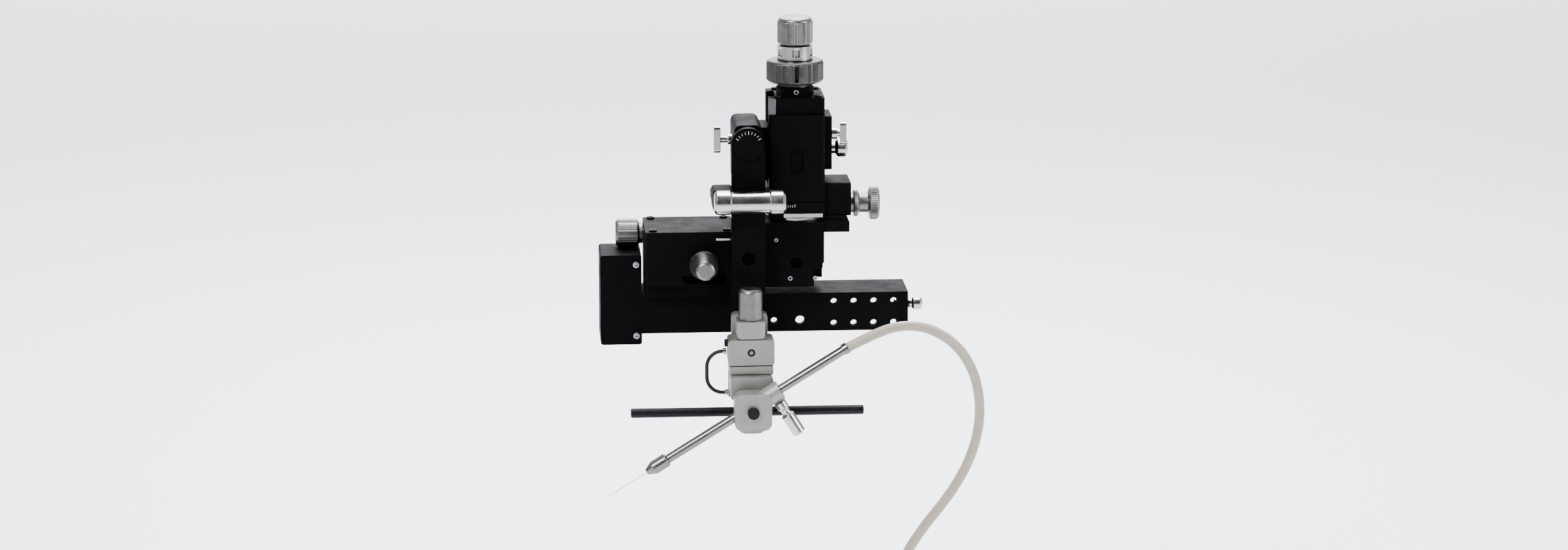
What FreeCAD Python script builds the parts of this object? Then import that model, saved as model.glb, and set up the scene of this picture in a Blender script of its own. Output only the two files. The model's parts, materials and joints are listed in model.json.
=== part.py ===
"""Three-axis micromanipulator head: a beam that bolts to a microscope, a coarse X, Y and Z
stack with knobs, a swing-out turret, and a tilting arm with a fine drive and a tool holder.

X runs along the beam, away from the mounting face. Y runs away from the operator. Z is up.
The origin is the centre of the mounting face. All sizes are in millimetres and degrees.
"""
import FreeCAD, Part
import math
import os
import re
import PartDesign
import Sketcher

V = FreeCAD.Vector
doc = FreeCAD.newDocument("micromanipulator")

# ---------------------------------------------------------------- driving dimensions

SIZES = {
    # fits and gaps
    "running_fit": 0.05,
    "slide_gap": 0.2,
    "seat_gap": 0.3,
    "tip_room": 0.5,
    "dovetail_gap": 0.12,
    # mounting block and beam
    "block_width": 18.5,
    "block_depth": 26,
    "block_height": 41,
    "block_over_beam": 36,
    "mount_hole_radius": 2.1,
    "mount_hole_depth": 8.5,
    "mount_edge_y": 6,
    "mount_edge_z": 8.5,
    "block_bolt_radius": 2,
    "block_bolt_head": 3,
    "block_bolt_reach": 7,
    "block_round": 1.2,
    "gusset_thick": 4,
    "block_bolt_height": 2.6,
    "block_bolt_edge": 2.5,
    "block_bolt_gap": 0.5,
    "block_bolt_side": 1,
    "set_screw_edge": 4.2,
    "set_screw_side": 2.4,
    "set_screw_head": 1.5,
    "set_screw_height": 1,
    "set_screw_radius": 1,
    "set_screw_reach": 5,
    "beam_length": 120,
    "beam_height": 17.5,
    "beam_web": 4,
    "beam_flange": 3,
    "beam_hole_radius": 1.5,
    "beam_hole_pitch": 9,
    "beam_hole_end": 6.5,
    "beam_hole_upper": 13.4,
    "beam_hole_lower": 3.4,
    "locating_hole_radius": 2.1,
    "locating_hole_height": 5,
    "end_screw_radius": 1.5,
    "end_screw_head": 2.9,
    "end_screw_collar": 2,
    "end_screw_reach": 6,
    # Y stage on the beam
    "stage_offset": 1.5,
    "stage_width": 40,
    "base_thick": 6,
    "base_front": 17.5,
    "base_screw_radius": 1.2,
    "base_screw_head": 2.2,
    "base_screw_height": 2,
    "tongue_width": 20,
    "tongue_flare": 2,
    "tongue_height": 4.4,
    "housing_front": 22,
    "housing_height": 22.8,
    "rail_length": 80,
    "rail_front": 8,
    "rail_key_depth": 4,
    "rail_key_root": 6,
    "rail_key_tip": 10,
    "cover_thick": 1.5,
    "cover_screw_radius": 0.9,
    "cover_screw_head": 1.7,
    "cover_screw_height": 0.9,
    "cover_screw_bite": 3,
    "cover_screw_edge": 3.5,
    "x_wall": 3,
    "front_wall": 4,
    "y_screw_along": 26,
    "y_screw_height": 9.8,
    "y_screw_radius": 1.75,
    "y_nut_width": 8,
    "y_nut_length": 8,
    "y_travel": 8,
    "y_knob_length": 16,
    "y_knob_base": 6.3,
    "y_knob_tip": 4.2,
    # X stage
    "x_screw_y": 5,
    "x_screw_below": 4,
    "x_screw_radius": 2,
    "x_channel_radius": 3.2,
    "x_nut_length": 12,
    "x_knob_radius": 6.2,
    "x_knob_length": 12.2,
    "carriage_front": 20,
    "carriage_plate": 4.5,
    "apron_drop": 24.5,
    "apron_notch": 4.5,
    "limit_block_length": 11.5,
    "limit_block_drop": 0.3,
    # turret and cross slide
    "turret_along": 27.5,
    "turret_y": -4,
    "ring_radius": 13.6,
    "ring_thick": 1.6,
    "pivot_radius": 4,
    "cross_length": 25,
    "cross_depth": 28,
    "cross_height": 7,
    "cross_rail_height": 3.6,
    "cross_key_root": 14,
    "cross_key_tip": 17,
    "cross_screw_height": 3.8,
    "cross_screw_radius": 1.6,
    "cross_channel_radius": 2.8,
    "cross_nut_length": 7,
    "cross_plate_top": 6.3,
    "end_block_length": 12,
    "end_block_depth": 21,
    "end_block_rise": 8,
    "spool_radius": 7.2,
    "spool_waist": 4.4,
    "spool_length": 13,
    # lock lever
    "lever_beside": 21,
    "lever_y": -38,
    "lever_radius": 5.4,
    "lever_length": 31.5,
    "lever_screw_radius": 2.4,
    "lug_front": 25.6,
    "lug_depth": 14,
    "lever_head": 4.6,
    # Z column and head
    "column_height": 33,
    "column_bore": 7.2,
    "column_floor": 2,
    "cap_height": 7.5,
    "cap_step": 1.5,
    "cap_screw_bite": 3,
    "cap_screw_radius": 0.9,
    "cap_screw_head": 1.6,
    "fine_nut_width": 5.2,
    "groove_mouth": 12,
    "groove_flare": 4,
    "groove_depth": 3.2,
    "sleeve_radius": 6.4,
    "sleeve_top": 27.5,
    "nut_ring_radius": 8.4,
    "neck_radius": 8.4,
    "neck_height": 3.5,
    "collar_radius": 12.5,
    "collar_height": 10,
    "collar_stand": 5.6,
    "spindle_radius": 4.7,
    "spindle_wall": 2.4,
    "crown_radius": 8,
    "crown_height": 6.2,
    "fine_knob_radius": 7.65,
    "fine_knob_height": 12.9,
    "fine_screw_radius": 1.9,
    "z_fine_travel": 2,
    "side_plate_thick": 3.4,
    "side_plate_depth": 18,
    "side_plate_height": 24,
    "lock_screw_radius": 1.5,
    # slider, bracket and arm
    "slider_plate": 3.2,
    "slider_depth": 20,
    "slider_height": 24,
    "bracket_width": 12.5,
    "bracket_front": 25.6,
    "bracket_back": 4,
    "bracket_height": 29.5,
    "bracket_round": 3,
    "bracket_screw_radius": 1.4,
    "bracket_screw_head": 2.5,
    "arm_beside": 6,
    "arm_width": 15,
    "arm_thick": 4.4,
    "arm_back": 26.2,
    "arm_length": 84,
    "arm_round": 7.3,
    "arm_screw_radius": 1.2,
    "arm_screw_head": 2.2,
    "arm_window_radius": 3,
    "pivot_drop": 8,
    "tilt_pin_radius": 3,
    "dial_radius": 6.6,
    "dial_thick": 1.4,
    # fine drive
    "backplate_width": 16,
    "backplate_thick": 6,
    "backplate_height": 20.5,
    "backplate_rise": 9,
    "cylinder_radius": 5.3,
    "cylinder_bore": 3.3,
    "cylinder_height": 14,
    "cylinder_base_width": 12.5,
    "cylinder_base_depth": 13,
    "cylinder_base_height": 7.7,
    "piston_radius": 1.8,
    "fine_block_width": 20.6,
    "fine_block_depth": 12.7,
    "fine_block_height": 11.7,
    "fine_round": 1.6,
    "fine_y_travel": 4,
    "yoke_width": 19.5,
    "yoke_top": 3.6,
    "tab_thick": 1.2,
    "yoke_leg_height": 12,
    "yoke_leg_thick": 4.4,
    "ram_radius": 1.5,
    "tool_block_width": 19,
    "tool_block_height": 10.3,
    "tool_block_depth": 11.8,
    "ear_width": 13,
    "ear_drop": 15.5,
    "ear_depth": 8.5,
    "ear_round": 4,
    "hose_radius": 0.8,
    "hose_port": 2.5,
    "hose_bend": 7,
    "hose_rise": 4.5,
    "hose_foot": 1.6,
    # tool clamp, rod and holder
    "rod_radius": 2.1,
    "rod_length": 103.5,
    "rod_left": 12,
    "clamp_size": 16.5,
    "clamp_depth": 9.7,
    "clamp_pin_radius": 2.5,
    "clamp_pin_reach": 3,
    "clamp_sleeve_radius": 4.4,
    "clamp_round": 3.5,
    "clamp_screw_radius": 1.2,
    "clamp_screw_head": 2.6,
    "wing_along": 11,
    "wing_radius": 1.2,
    "wing_length": 17,
    "holder_slope": 31.8,
    "holder_radius": 2,
    "holder_front": 48,
    "holder_rear": 47,
    "barb_length": 2.4,
    "chuck_length": 11,
    "chuck_radius": 3.1,
    "capillary_radius": 0.5,
    "capillary_length": 22,
    "tube_radius": 2.2,
    "coil_radius": 24,
    "coil_thick": 9.2,
    "coil_depth": 17,
    "coil_lane": 5.9,
    "fitting_radius": 2.6,
    "fitting_length": 16,
}

PLACES = {
    # heights of the stack, from the beam up
    "block_bottom": "-block_height / 2",
    "block_top": "block_height / 2",
    "mount_spacing_y": "block_depth - 2 * mount_edge_y",
    "mount_spacing_z": "block_height - 2 * mount_edge_z",
    "beam_bottom": "block_top - block_over_beam",
    "block_bolt_z": "beam_bottom + block_bolt_head + block_bolt_edge",
    "beam_top": "beam_bottom + beam_height",
    "beam_front": "-block_depth / 2",
    "beam_end": "block_width + beam_length",
    "stage_left": "block_width + stage_offset",
    "stage_right": "stage_left + stage_width",
    "y_screw_x": "stage_left + y_screw_along",
    "rail_right": "stage_left + rail_length",
    "base_top": "beam_top + base_thick",
    "tongue_top": "base_top + tongue_height",
    "housing_back": "block_depth / 2",
    "housing_bottom": "base_top + slide_gap",
    "housing_top": "housing_bottom + housing_height",
    "cover_top": "housing_top + cover_thick",
    "y_screw_z": "housing_bottom + y_screw_height",
    "y_nut_top": "y_screw_z + 4",
    "rail_key_z": "housing_bottom + 10",
    "y_nut_front": "-housing_front + front_wall + y_travel + 1",
    "x_screw_z": "housing_top - x_screw_below",
    "carriage_left": "stage_right + 0.5",
    "carriage_right": "rail_right",
    "carriage_bottom": "housing_top + slide_gap",
    "carriage_top": "carriage_bottom + carriage_plate",
    "apron_bottom": "housing_top - apron_drop",
    "ring_top": "carriage_top + ring_thick",
    "turret_x": "carriage_left + turret_along",
    "cross_left": "turret_x - cross_length / 2",
    "cross_right": "turret_x + cross_length / 2",
    "cross_front": "turret_y - cross_depth / 2",
    "cross_back": "turret_y + cross_depth / 2",
    "cross_bottom": "ring_top + slide_gap",
    "cross_top": "cross_bottom + cross_height",
    "cross_screw_z": "cross_bottom + cross_screw_height",
    "plate_bottom": "cross_top + slide_gap",
    "plate_top": "plate_bottom + cross_plate_top",
    "end_block_right": "cross_right + end_block_length",
    "lever_x": "cross_left - lever_beside",
    "lever_z": "plate_top - 2",
    "column_top": "plate_top + column_height",
    "cap_top": "column_top + cap_height",
    "collar_bottom": "cap_top + collar_stand",
    "collar_top": "collar_bottom + collar_height",
    "crown_bottom": "collar_top + seat_gap",
    "crown_top": "crown_bottom + crown_height",
    "knob_bottom": "crown_top + seat_gap",
    "sleeve_bottom": "collar_bottom - sleeve_top - 4",
    "spindle_bottom": "sleeve_bottom - 2",
    "fine_nut_top": "spindle_bottom - z_fine_travel - 0.6",
    "fine_nut_bottom": "plate_top + column_floor + z_fine_travel + 1",
    "side_plate_z": "plate_top + 7.5",
    # slider, bracket and arm
    "slider_bottom": "plate_top + 3",
    "slider_left": "cross_left - slider_plate - seat_gap",
    "bracket_left": "slider_left - bracket_width",
    "arm_x": "bracket_left + arm_beside",
    "bracket_bottom": "plate_top + 0.8",
    "bracket_top": "bracket_bottom + bracket_height",
    "pivot_z": "bracket_top - pivot_drop",
    "tilt_pin_end": "-bracket_front + 14",
    "arm_front": "-arm_back - arm_thick",
    "arm_bottom": "pivot_z - arm_length",
    # fine drive, from the arm down
    "backplate_front": "arm_front - backplate_thick",
    "backplate_top": "arm_bottom + backplate_rise",
    "backplate_bottom": "backplate_top - backplate_height",
    "cylinder_y": "backplate_front - cylinder_base_depth / 2",
    "cylinder_bottom": "backplate_top - 1",
    "base_floor": "cylinder_bottom - cylinder_base_height",
    "fine_block_top": "base_floor - seat_gap",
    "fine_block_bottom": "fine_block_top - fine_block_height",
    "ram_y_z": "fine_block_bottom + ram_radius + 0.3",
    "fine_block_back": "backplate_front - seat_gap",
    "fine_block_front": "fine_block_back - fine_block_depth",
    "yoke_high": "fine_block_bottom - seat_gap",
    "yoke_low": "yoke_high - yoke_top",
    "leg_front": "fine_block_back - 0.3 - yoke_leg_thick",
    "leg_bottom": "yoke_low - yoke_leg_height",
    "tool_block_back": "leg_front - slide_gap",
    "tool_block_front": "tool_block_back - tool_block_depth",
    "tool_block_top": "yoke_low - seat_gap",
    "tool_block_bottom": "tool_block_top - tool_block_height",
    "ear_bottom": "tool_block_bottom - ear_drop",
    "clamp_z": "tool_block_bottom - 3.4",
    "rod_z": "clamp_z - 3.2",
    "rod_y": "tool_block_front + clamp_pin_reach + rod_radius + 0.6",
    "clamp_back": "tool_block_front - seat_gap",
    "clamp_front": "clamp_back - clamp_depth",
    "holder_y": "clamp_back - clamp_depth / 2",
    "holder_z": "clamp_z + 1.8",
}

sheet = doc.addObject("Spreadsheet::Sheet", "Sizes")
for row, (alias, size) in enumerate(SIZES.items(), start=1):
    sheet.set(f"A{row}", alias)
    sheet.set(f"B{row}", str(size))
    sheet.setAlias(f"B{row}", alias)
doc.recompute()


def formula(text):
    """The same formula, with each name pointed at the sheet or the derived places."""
    def owner(match):
        word = match.group(0)
        if word in SIZES:
            return "Sizes." + word
        if word in PLACES:
            return "Places." + word
        return word
    return re.sub(r"[A-Za-z_][A-Za-z0-9_]*", owner, str(text))


places = doc.addObject("App::VarSet", "Places")
for name, text in PLACES.items():
    places.addProperty("App::PropertyFloat", name)
    places.setExpression(name, formula(text))
    doc.recompute([places])
doc.recompute()


def number(text):
    """The value of a formula, as a plain number."""
    value = places.evalExpression(formula(text))
    return float(getattr(value, "Value", value))


def bind(item, path, text):
    item.setExpression(path, formula(text))


def put(item, x, y, z):
    """Binds the place of an item to three formulas."""
    bind(item, "Placement.Base.x", x)
    bind(item, "Placement.Base.y", y)
    bind(item, "Placement.Base.z", z)


# ---------------------------------------------------------------- solids

TURN = {
    "X": FreeCAD.Rotation(V(0, 1, 0), 90),
    "Y": FreeCAD.Rotation(V(1, 0, 0), -90),
    "Z": FreeCAD.Rotation(),
}
nodes = []


def node(name, solid):
    """Names a finished sub-part."""
    solid.Label = name
    nodes.append(solid)
    return solid


def box(x, y, z):
    """A block between the low and high formula of each axis."""
    solid = doc.addObject("Part::Box", "block")
    for side, (low, high) in zip(("Length", "Width", "Height"), (x, y, z)):
        bind(solid, side, f"({high}) - ({low})")
    put(solid, x[0], y[0], z[0])
    return solid


def rod(axis, centre, radius, span):
    """A straight round rod along an axis; centre holds the two other coordinates in order."""
    solid = doc.addObject("Part::Cylinder", "rod")
    solid.Placement.Rotation = TURN[axis]
    bind(solid, "Radius", radius)
    bind(solid, "Height", f"({span[1]}) - ({span[0]})")
    spot = list(centre)
    spot.insert("XYZ".index(axis), span[0])
    put(solid, *spot)
    return solid


def cone(axis, centre, radii, span):
    """A round taper along an axis, with the radius at its low and at its high end."""
    solid = doc.addObject("Part::Cone", "taper")
    solid.Placement.Rotation = TURN[axis]
    bind(solid, "Radius1", radii[0])
    bind(solid, "Radius2", radii[1])
    bind(solid, "Height", f"({span[1]}) - ({span[0]})")
    spot = list(centre)
    spot.insert("XYZ".index(axis), span[0])
    put(solid, *spot)
    return solid


def fuse(*parts):
    solid = doc.addObject("Part::MultiFuse", "joined")
    solid.Shapes = list(parts)
    return solid


def group(*parts):
    """Separate like pieces that share one node."""
    solid = doc.addObject("Part::Compound", "set")
    solid.Links = list(parts)
    return solid


def cut(base, *tools):
    tool = tools[0]
    if len(tools) > 1:
        tool = fuse(*tools)
    solid = doc.addObject("Part::Cut", "cut")
    solid.Base = base
    solid.Tool = tool
    return solid


def sketch_of(body, plane, points):
    """A closed outline on one of the body's own planes, each corner bound to its formulas."""
    sketch = body.newObject("Sketcher::SketchObject", "outline")
    face = [f for f in body.Origin.OriginFeatures if f.Role == plane][0]
    sketch.AttachmentSupport = [(face, "")]
    sketch.MapMode = "FlatFace"
    corners = [V(number(a), number(b), 0) for a, b in points]
    last = len(corners) - 1
    for i, corner in enumerate(corners):
        sketch.addGeometry(Part.LineSegment(corner, corners[0 if i == last else i + 1]))
    for i in range(len(corners)):
        sketch.addConstraint(Sketcher.Constraint("Coincident", i, 2, 0 if i == last else i + 1, 1))
    for i, pair in enumerate(points):
        for kind, text, value in zip(("DistanceX", "DistanceY"), pair, corners[i]):
            index = sketch.addConstraint(Sketcher.Constraint(kind, -1, 1, i, 1, value))
            bind(sketch, f"Constraints[{index}]", text)
    return sketch


def turned(axis, centre, start, profile):
    """A turned piece: corners of (distance along the axis from start, radius), spun round it."""
    body = doc.addObject("PartDesign::Body", "turned")
    sketch = sketch_of(body, "XY_Plane", profile)
    spin = body.newObject("PartDesign::Revolution", "spin")
    spin.Profile = sketch
    spin.ReferenceAxis = (sketch, ["H_Axis"])
    spin.Angle = 360
    body.Tip = spin
    turn = {"X": FreeCAD.Rotation(), "Y": FreeCAD.Rotation(V(0, 0, 1), 90),
            "Z": FreeCAD.Rotation(V(0, 1, 0), -90)}
    body.Placement.Rotation = turn[axis]
    spot = list(centre)
    spot.insert("XYZ".index(axis), start)
    put(body, *spot)
    return body


def milled(plane, outline, low, high, round_radius=None):
    """A plate: an outline padded along the plane's normal, its long edges rounded if asked.

    Outlines on XY are (x, y), on XZ (x, z) and on YZ (y, z)."""
    body = doc.addObject("PartDesign::Body", "milled")
    sketch = sketch_of(body, plane + "_Plane", outline)
    pad = body.newObject("PartDesign::Pad", "pad")
    pad.Profile = sketch
    bind(pad, "Length", f"({high}) - ({low})")
    body.Tip = pad
    normal = {"XY": "z", "XZ": "y", "YZ": "x"}[plane]
    if plane == "XZ":
        pad.Reversed = True
    bind(body, "Placement.Base." + normal, low)
    if round_radius is not None:
        doc.recompute()
        along = {"XY": V(0, 0, 1), "XZ": V(0, 1, 0), "YZ": V(1, 0, 0)}[plane]
        edges = []
        for i, edge in enumerate(pad.Shape.Edges, start=1):
            if abs(abs(edge.tangentAt(edge.FirstParameter).dot(along)) - 1) < 1e-6:
                edges.append(f"Edge{i}")
        rounding = body.newObject("PartDesign::Fillet", "rounding")
        rounding.Base = (pad, edges)
        bind(rounding, "Radius", round_radius)
        body.Tip = rounding
    return body


def rectangle(a, b):
    """The four corners of a rectangle from two pairs of formulas."""
    return [(a[0], b[0]), (a[1], b[0]), (a[1], b[1]), (a[0], b[1])]


def dovetail(centre, root, tip, root_at, tip_at):
    """The outline of a dovetail key as (across, height), wider at its tip than at its root."""
    return [
        (f"({centre}) - ({root}) / 2", root_at),
        (f"({centre}) + ({root}) / 2", root_at),
        (f"({centre}) + ({tip}) / 2", tip_at),
        (f"({centre}) - ({tip}) / 2", tip_at),
    ]


def swapped(outline):
    """The same outline with its two coordinates changed over."""
    return [(b, a) for a, b in outline]


def screw(axis, centre, face, sign, head, head_height, shank, reach):
    """A cap screw: its head stands on face, and its shank goes the other way into the piece."""
    heads = [face, f"({face}) + ({sign}) * ({head_height})"]
    shanks = [f"({face}) - ({sign}) * ({reach})", face]
    if sign < 0:
        heads.reverse()
        shanks.reverse()
    return fuse(rod(axis, centre, head, heads), rod(axis, centre, shank, shanks))


def screw_hole(axis, centre, face, sign, head, shank, reach):
    """The room for a sunk cap screw whose head's underside sits on face."""
    wide = [face, f"({face}) + ({sign}) * 40"]
    narrow = [f"({face}) - ({sign}) * ({reach} + tip_room)", face]
    if sign < 0:
        wide.reverse()
        narrow.reverse()
    return fuse(rod(axis, centre, f"{head} + seat_gap", wide),
                rod(axis, centre, f"{shank} + running_fit", narrow))


def at_slope(solid, y, along):
    """Lays a solid that was made along X on the tool holder's sloping line."""
    solid.Placement.Rotation = FreeCAD.Rotation(V(0, 1, 0), -1)
    bind(solid, "Placement.Rotation.Angle", "-holder_slope")
    put(solid, f"arm_x + ({along}) * cos(holder_slope)", y,
        f"holder_z + ({along}) * sin(holder_slope)")
    return solid


def sloped_turned(along, profile):
    return at_slope(turned("X", ("0", "0"), "0", profile), "holder_y", along)


def sloped_rod(radius, start, end):
    return sloped_turned(start, rectangle(("0", f"({end}) - ({start})"), ("0", radius)))


# ---------------------------------------------------------------- mounting block and beam

frame_screws = []


def block_bolt_sides():
    """Where the two bolts that hold the beam stand across it."""
    return ("beam_front + beam_web + block_bolt_gap + block_bolt_head",
            "-beam_front - block_bolt_side - block_bolt_head")


def make_block():
    """The block that bolts to the microscope, its set screws and the bolts that hold the beam."""
    body = milled("XZ", rectangle(("0", "block_width"), ("block_bottom", "block_top")),
                  "-block_depth / 2", "block_depth / 2", "block_round")
    holes = []
    for y in ("-mount_spacing_y / 2", "mount_spacing_y / 2"):
        for z in ("-mount_spacing_z / 2", "mount_spacing_z / 2"):
            holes.append(rod("X", (y, z), "mount_hole_radius", ("-1", "mount_hole_depth")))
    for y in block_bolt_sides():
        face = "block_width + gusset_thick"
        reach = "gusset_thick + block_bolt_reach"
        frame_screws.append(screw("X", (y, "block_bolt_z"), face, 1, "block_bolt_head", "block_bolt_height",
                                  "block_bolt_radius", reach))
        holes.append(screw_hole("X", (y, "block_bolt_z"), face, 1, "block_bolt_head",
                                "block_bolt_radius", reach))
    for z in ("block_bottom + set_screw_edge", "block_top - set_screw_edge"):
        spot = ("block_width - set_screw_side", z)
        frame_screws.append(screw("Y", spot, "beam_front", -1, "set_screw_head", "set_screw_height",
                                  "set_screw_radius", "set_screw_reach"))
        holes.append(rod("Y", spot, "set_screw_radius + running_fit",
                         ("beam_front - 1", "beam_front + set_screw_reach + tip_room")))
    node("mount_block", cut(body, *holes))


def make_beam():
    """An angle beam: a drilled web in front and a flange on top, closed by a gusset at the block."""
    section = [
        ("beam_front", "beam_bottom"),
        ("beam_front + beam_web", "beam_bottom"),
        ("beam_front + beam_web", "beam_top - beam_flange"),
        ("-beam_front", "beam_top - beam_flange"),
        ("-beam_front", "beam_top"),
        ("beam_front", "beam_top"),
    ]
    angle = milled("YZ", section, "block_width", "beam_end")
    gusset = box(("block_width", "block_width + gusset_thick"), ("beam_front", "-beam_front"),
                 ("beam_bottom", "beam_top"))
    cap = box(("beam_end - gusset_thick", "beam_end"), ("beam_front", "beam_front + 12"),
              ("beam_bottom", "beam_top"))
    through = ("beam_front - 1", "beam_front + beam_web + 1")
    holes = []
    for i in range(4):
        x = f"beam_end - beam_hole_end - {i} * beam_hole_pitch"
        for height in ("beam_hole_upper", "beam_hole_lower"):
            holes.append(rod("Y", (x, f"beam_bottom + {height}"), "beam_hole_radius", through))
    row = "beam_bottom + locating_hole_height"
    inner = "beam_end - beam_hole_end - 3 * beam_hole_pitch"
    holes.append(rod("Y", (f"{inner} - 1.7 * beam_hole_pitch", row), "locating_hole_radius", through))
    holes.append(rod("Y", (f"{inner} - 3 * beam_hole_pitch", row), "beam_hole_radius", through))
    for y in block_bolt_sides():
        holes.append(rod("X", (y, "block_bolt_z"), "block_bolt_radius + running_fit",
                         ("block_width - 1", "block_width + gusset_thick + 1")))
    screw_y, screw_z = end_screw_place()
    holes.append(rod("X", (screw_y, screw_z), "end_screw_radius + running_fit",
                     ("beam_end - gusset_thick - 1", "beam_end + 1")))
    for spot in base_screw_places():
        holes.append(rod("Z", spot, "base_screw_radius + running_fit",
                         ("beam_top - beam_flange - 1", "beam_top + 1")))
    node("beam", cut(fuse(angle, gusset, cap), *holes))


def end_screw_place():
    return "beam_front + 7", "beam_bottom + 10.5"


def make_end_screw():
    """The small thumbscrew in the beam's far end: a plug for its long bore."""
    profile = [
        ("0", "0"), ("0", "end_screw_radius"),
        ("end_screw_reach + 0.4", "end_screw_radius"), ("end_screw_reach + 0.4", "end_screw_collar"),
        ("end_screw_reach + 2.4", "end_screw_collar"), ("end_screw_reach + 3", "end_screw_head"),
        ("end_screw_reach + 6", "end_screw_head"), ("end_screw_reach + 7", "end_screw_head - 1"),
        ("end_screw_reach + 7", "0"),
    ]
    node("end_screw", turned("X", end_screw_place(), "beam_end - end_screw_reach", profile))


# ---------------------------------------------------------------- Y stage

def base_screw_places():
    """The four screws that hold the Y base on the beam, beside its tongue."""
    return [(x, y) for x in ("stage_left + 5", "stage_right - 2.7")
            for y in ("beam_front + beam_web + 3", "-beam_front - 3.6")]


def make_y_base():
    """The plate on the beam with its dovetail tongue along Y, its screws and the Y nut."""
    plate = box(("stage_left", "stage_right"), ("-base_front", "-beam_front"),
                ("beam_top", "base_top"))
    key = dovetail("y_screw_x", "tongue_width - 2 * tongue_flare", "tongue_width",
                   "base_top", "tongue_top")
    tongue = milled("XZ", key, "-housing_front + y_travel + seat_gap", "-beam_front")
    seat = "base_top - base_screw_height - 0.5"
    holes = []
    for spot in base_screw_places():
        frame_screws.append(screw("Z", spot, seat, 1, "base_screw_head", "base_screw_height",
                                  "base_screw_radius", "base_thick - base_screw_height + 2.5"))
        holes.append(screw_hole("Z", spot, seat, 1, "base_screw_head", "base_screw_radius",
                                "base_thick"))
    node("y_base", cut(fuse(plate, tongue), *holes))
    node("frame_screws", group(*frame_screws))
    nut = box(("y_screw_x - y_nut_width / 2", "y_screw_x + y_nut_width / 2"),
              ("y_nut_front", "y_nut_front + y_nut_length"), ("tongue_top", "y_nut_top"))
    bore = rod("Y", ("y_screw_x", "y_screw_z"), "y_screw_radius + running_fit",
               ("y_nut_front - 1", "y_nut_front + y_nut_length + 1"))
    node("y_nut", cut(nut, bore))


def make_housing():
    """The Y housing with the X rail that runs on from it, drilled for both lead screws."""
    body = fuse(
        milled("XY", rectangle(("stage_left", "stage_right"), ("-housing_front", "housing_back")),
               "housing_bottom", "housing_top", "block_round"),
        box(("stage_right - 5", "rail_right"), ("-rail_front", "housing_back"),
            ("housing_bottom", "housing_top")),
        milled("YZ", swapped(dovetail("rail_key_z", "rail_key_root", "rail_key_tip",
                                      "-rail_front", "-rail_front - rail_key_depth")),
               "stage_right - 5", "rail_right"),
    )
    groove = milled("XZ", dovetail("y_screw_x", "tongue_width - 2 * tongue_flare + 2 * dovetail_gap",
                                   "tongue_width + 2 * dovetail_gap", "housing_bottom",
                                   "tongue_top + dovetail_gap"),
                    "-housing_front - 1", "housing_back + 1")
    groove_mouth = box(("y_screw_x - tongue_width / 2 + tongue_flare - dovetail_gap",
                        "y_screw_x + tongue_width / 2 - tongue_flare + dovetail_gap"),
                       ("-housing_front - 1", "housing_back + 1"),
                       ("housing_bottom - 1", "housing_bottom + 0.1"))
    nut_room = box(("y_screw_x - y_nut_width / 2 - 1", "y_screw_x + y_nut_width / 2 + 1"),
                   ("-housing_front + front_wall", "y_nut_front + y_nut_length + y_travel + 1"),
                   ("housing_bottom + 1", "y_nut_top + slide_gap"))
    y_bore = rod("Y", ("y_screw_x", "y_screw_z"), "y_screw_radius + running_fit",
                 ("-housing_front - 1", "-housing_front + front_wall + 1"))
    channel = box(("stage_left + x_wall", "rail_right - x_wall"),
                  ("x_screw_y - x_channel_radius", "x_screw_y + x_channel_radius"),
                  ("x_screw_z - x_channel_radius", "housing_top + 1"))
    x_bore = rod("X", ("x_screw_y", "x_screw_z"), "x_screw_radius + running_fit",
                 ("stage_left - 1", "rail_right + 1"))
    cover_holes = [rod("Z", spot, "cover_screw_radius + running_fit",
                       ("housing_top - 5", "housing_top + 1")) for spot in cover_screw_places()]
    node("y_housing", cut(body, groove, groove_mouth, nut_room, y_bore, channel, x_bore,
                          *cover_holes))


def cover_screw_places():
    return [(x, y) for x in ("stage_left + cover_screw_edge", "stage_right - cover_screw_edge")
            for y in ("-housing_front + cover_screw_edge", "housing_back - cover_screw_edge")]


def make_cover():
    """The housing's top cover and its screws."""
    plate = milled("XY", rectangle(("stage_left", "stage_right"), ("-housing_front", "housing_back")),
                   "housing_top", "cover_top", "block_round")
    holes = [rod("Z", spot, "cover_screw_radius + running_fit", ("housing_top - 1", "cover_top + 1"))
             for spot in cover_screw_places()]
    node("housing_cover", cut(plate, *holes))
    screws = [screw("Z", spot, "cover_top", 1, "cover_screw_head", "cover_screw_height",
                    "cover_screw_radius", "cover_thick + cover_screw_bite")
              for spot in cover_screw_places()]
    node("cover_screws", group(*screws))


def make_y_knob():
    """The conical front knob and the lead screw that it turns."""
    start = "-housing_front - seat_gap - y_knob_length"
    profile = [
        ("0", "0"), ("0", "y_knob_tip - 1"), ("0.8", "y_knob_tip"),
        ("y_knob_length * 0.55", "y_knob_base - 0.8"), ("y_knob_length - 4", "y_knob_base"),
        ("y_knob_length - 0.8", "y_knob_base"), ("y_knob_length", "y_knob_base - 0.8"),
        ("y_knob_length", "0"),
    ]
    knob = turned("Y", ("y_screw_x", "y_screw_z"), start, profile)
    bore = rod("Y", ("y_screw_x", "y_screw_z"), "y_screw_radius",
               ("-housing_front - seat_gap - 8", "-housing_front"))
    node("y_knob", cut(knob, bore))
    node("y_lead_screw", rod("Y", ("y_screw_x", "y_screw_z"), "y_screw_radius",
                             ("-housing_front - seat_gap - 8",
                              "y_nut_front + y_nut_length + y_travel - 0.5")))


# ---------------------------------------------------------------- X stage

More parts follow.
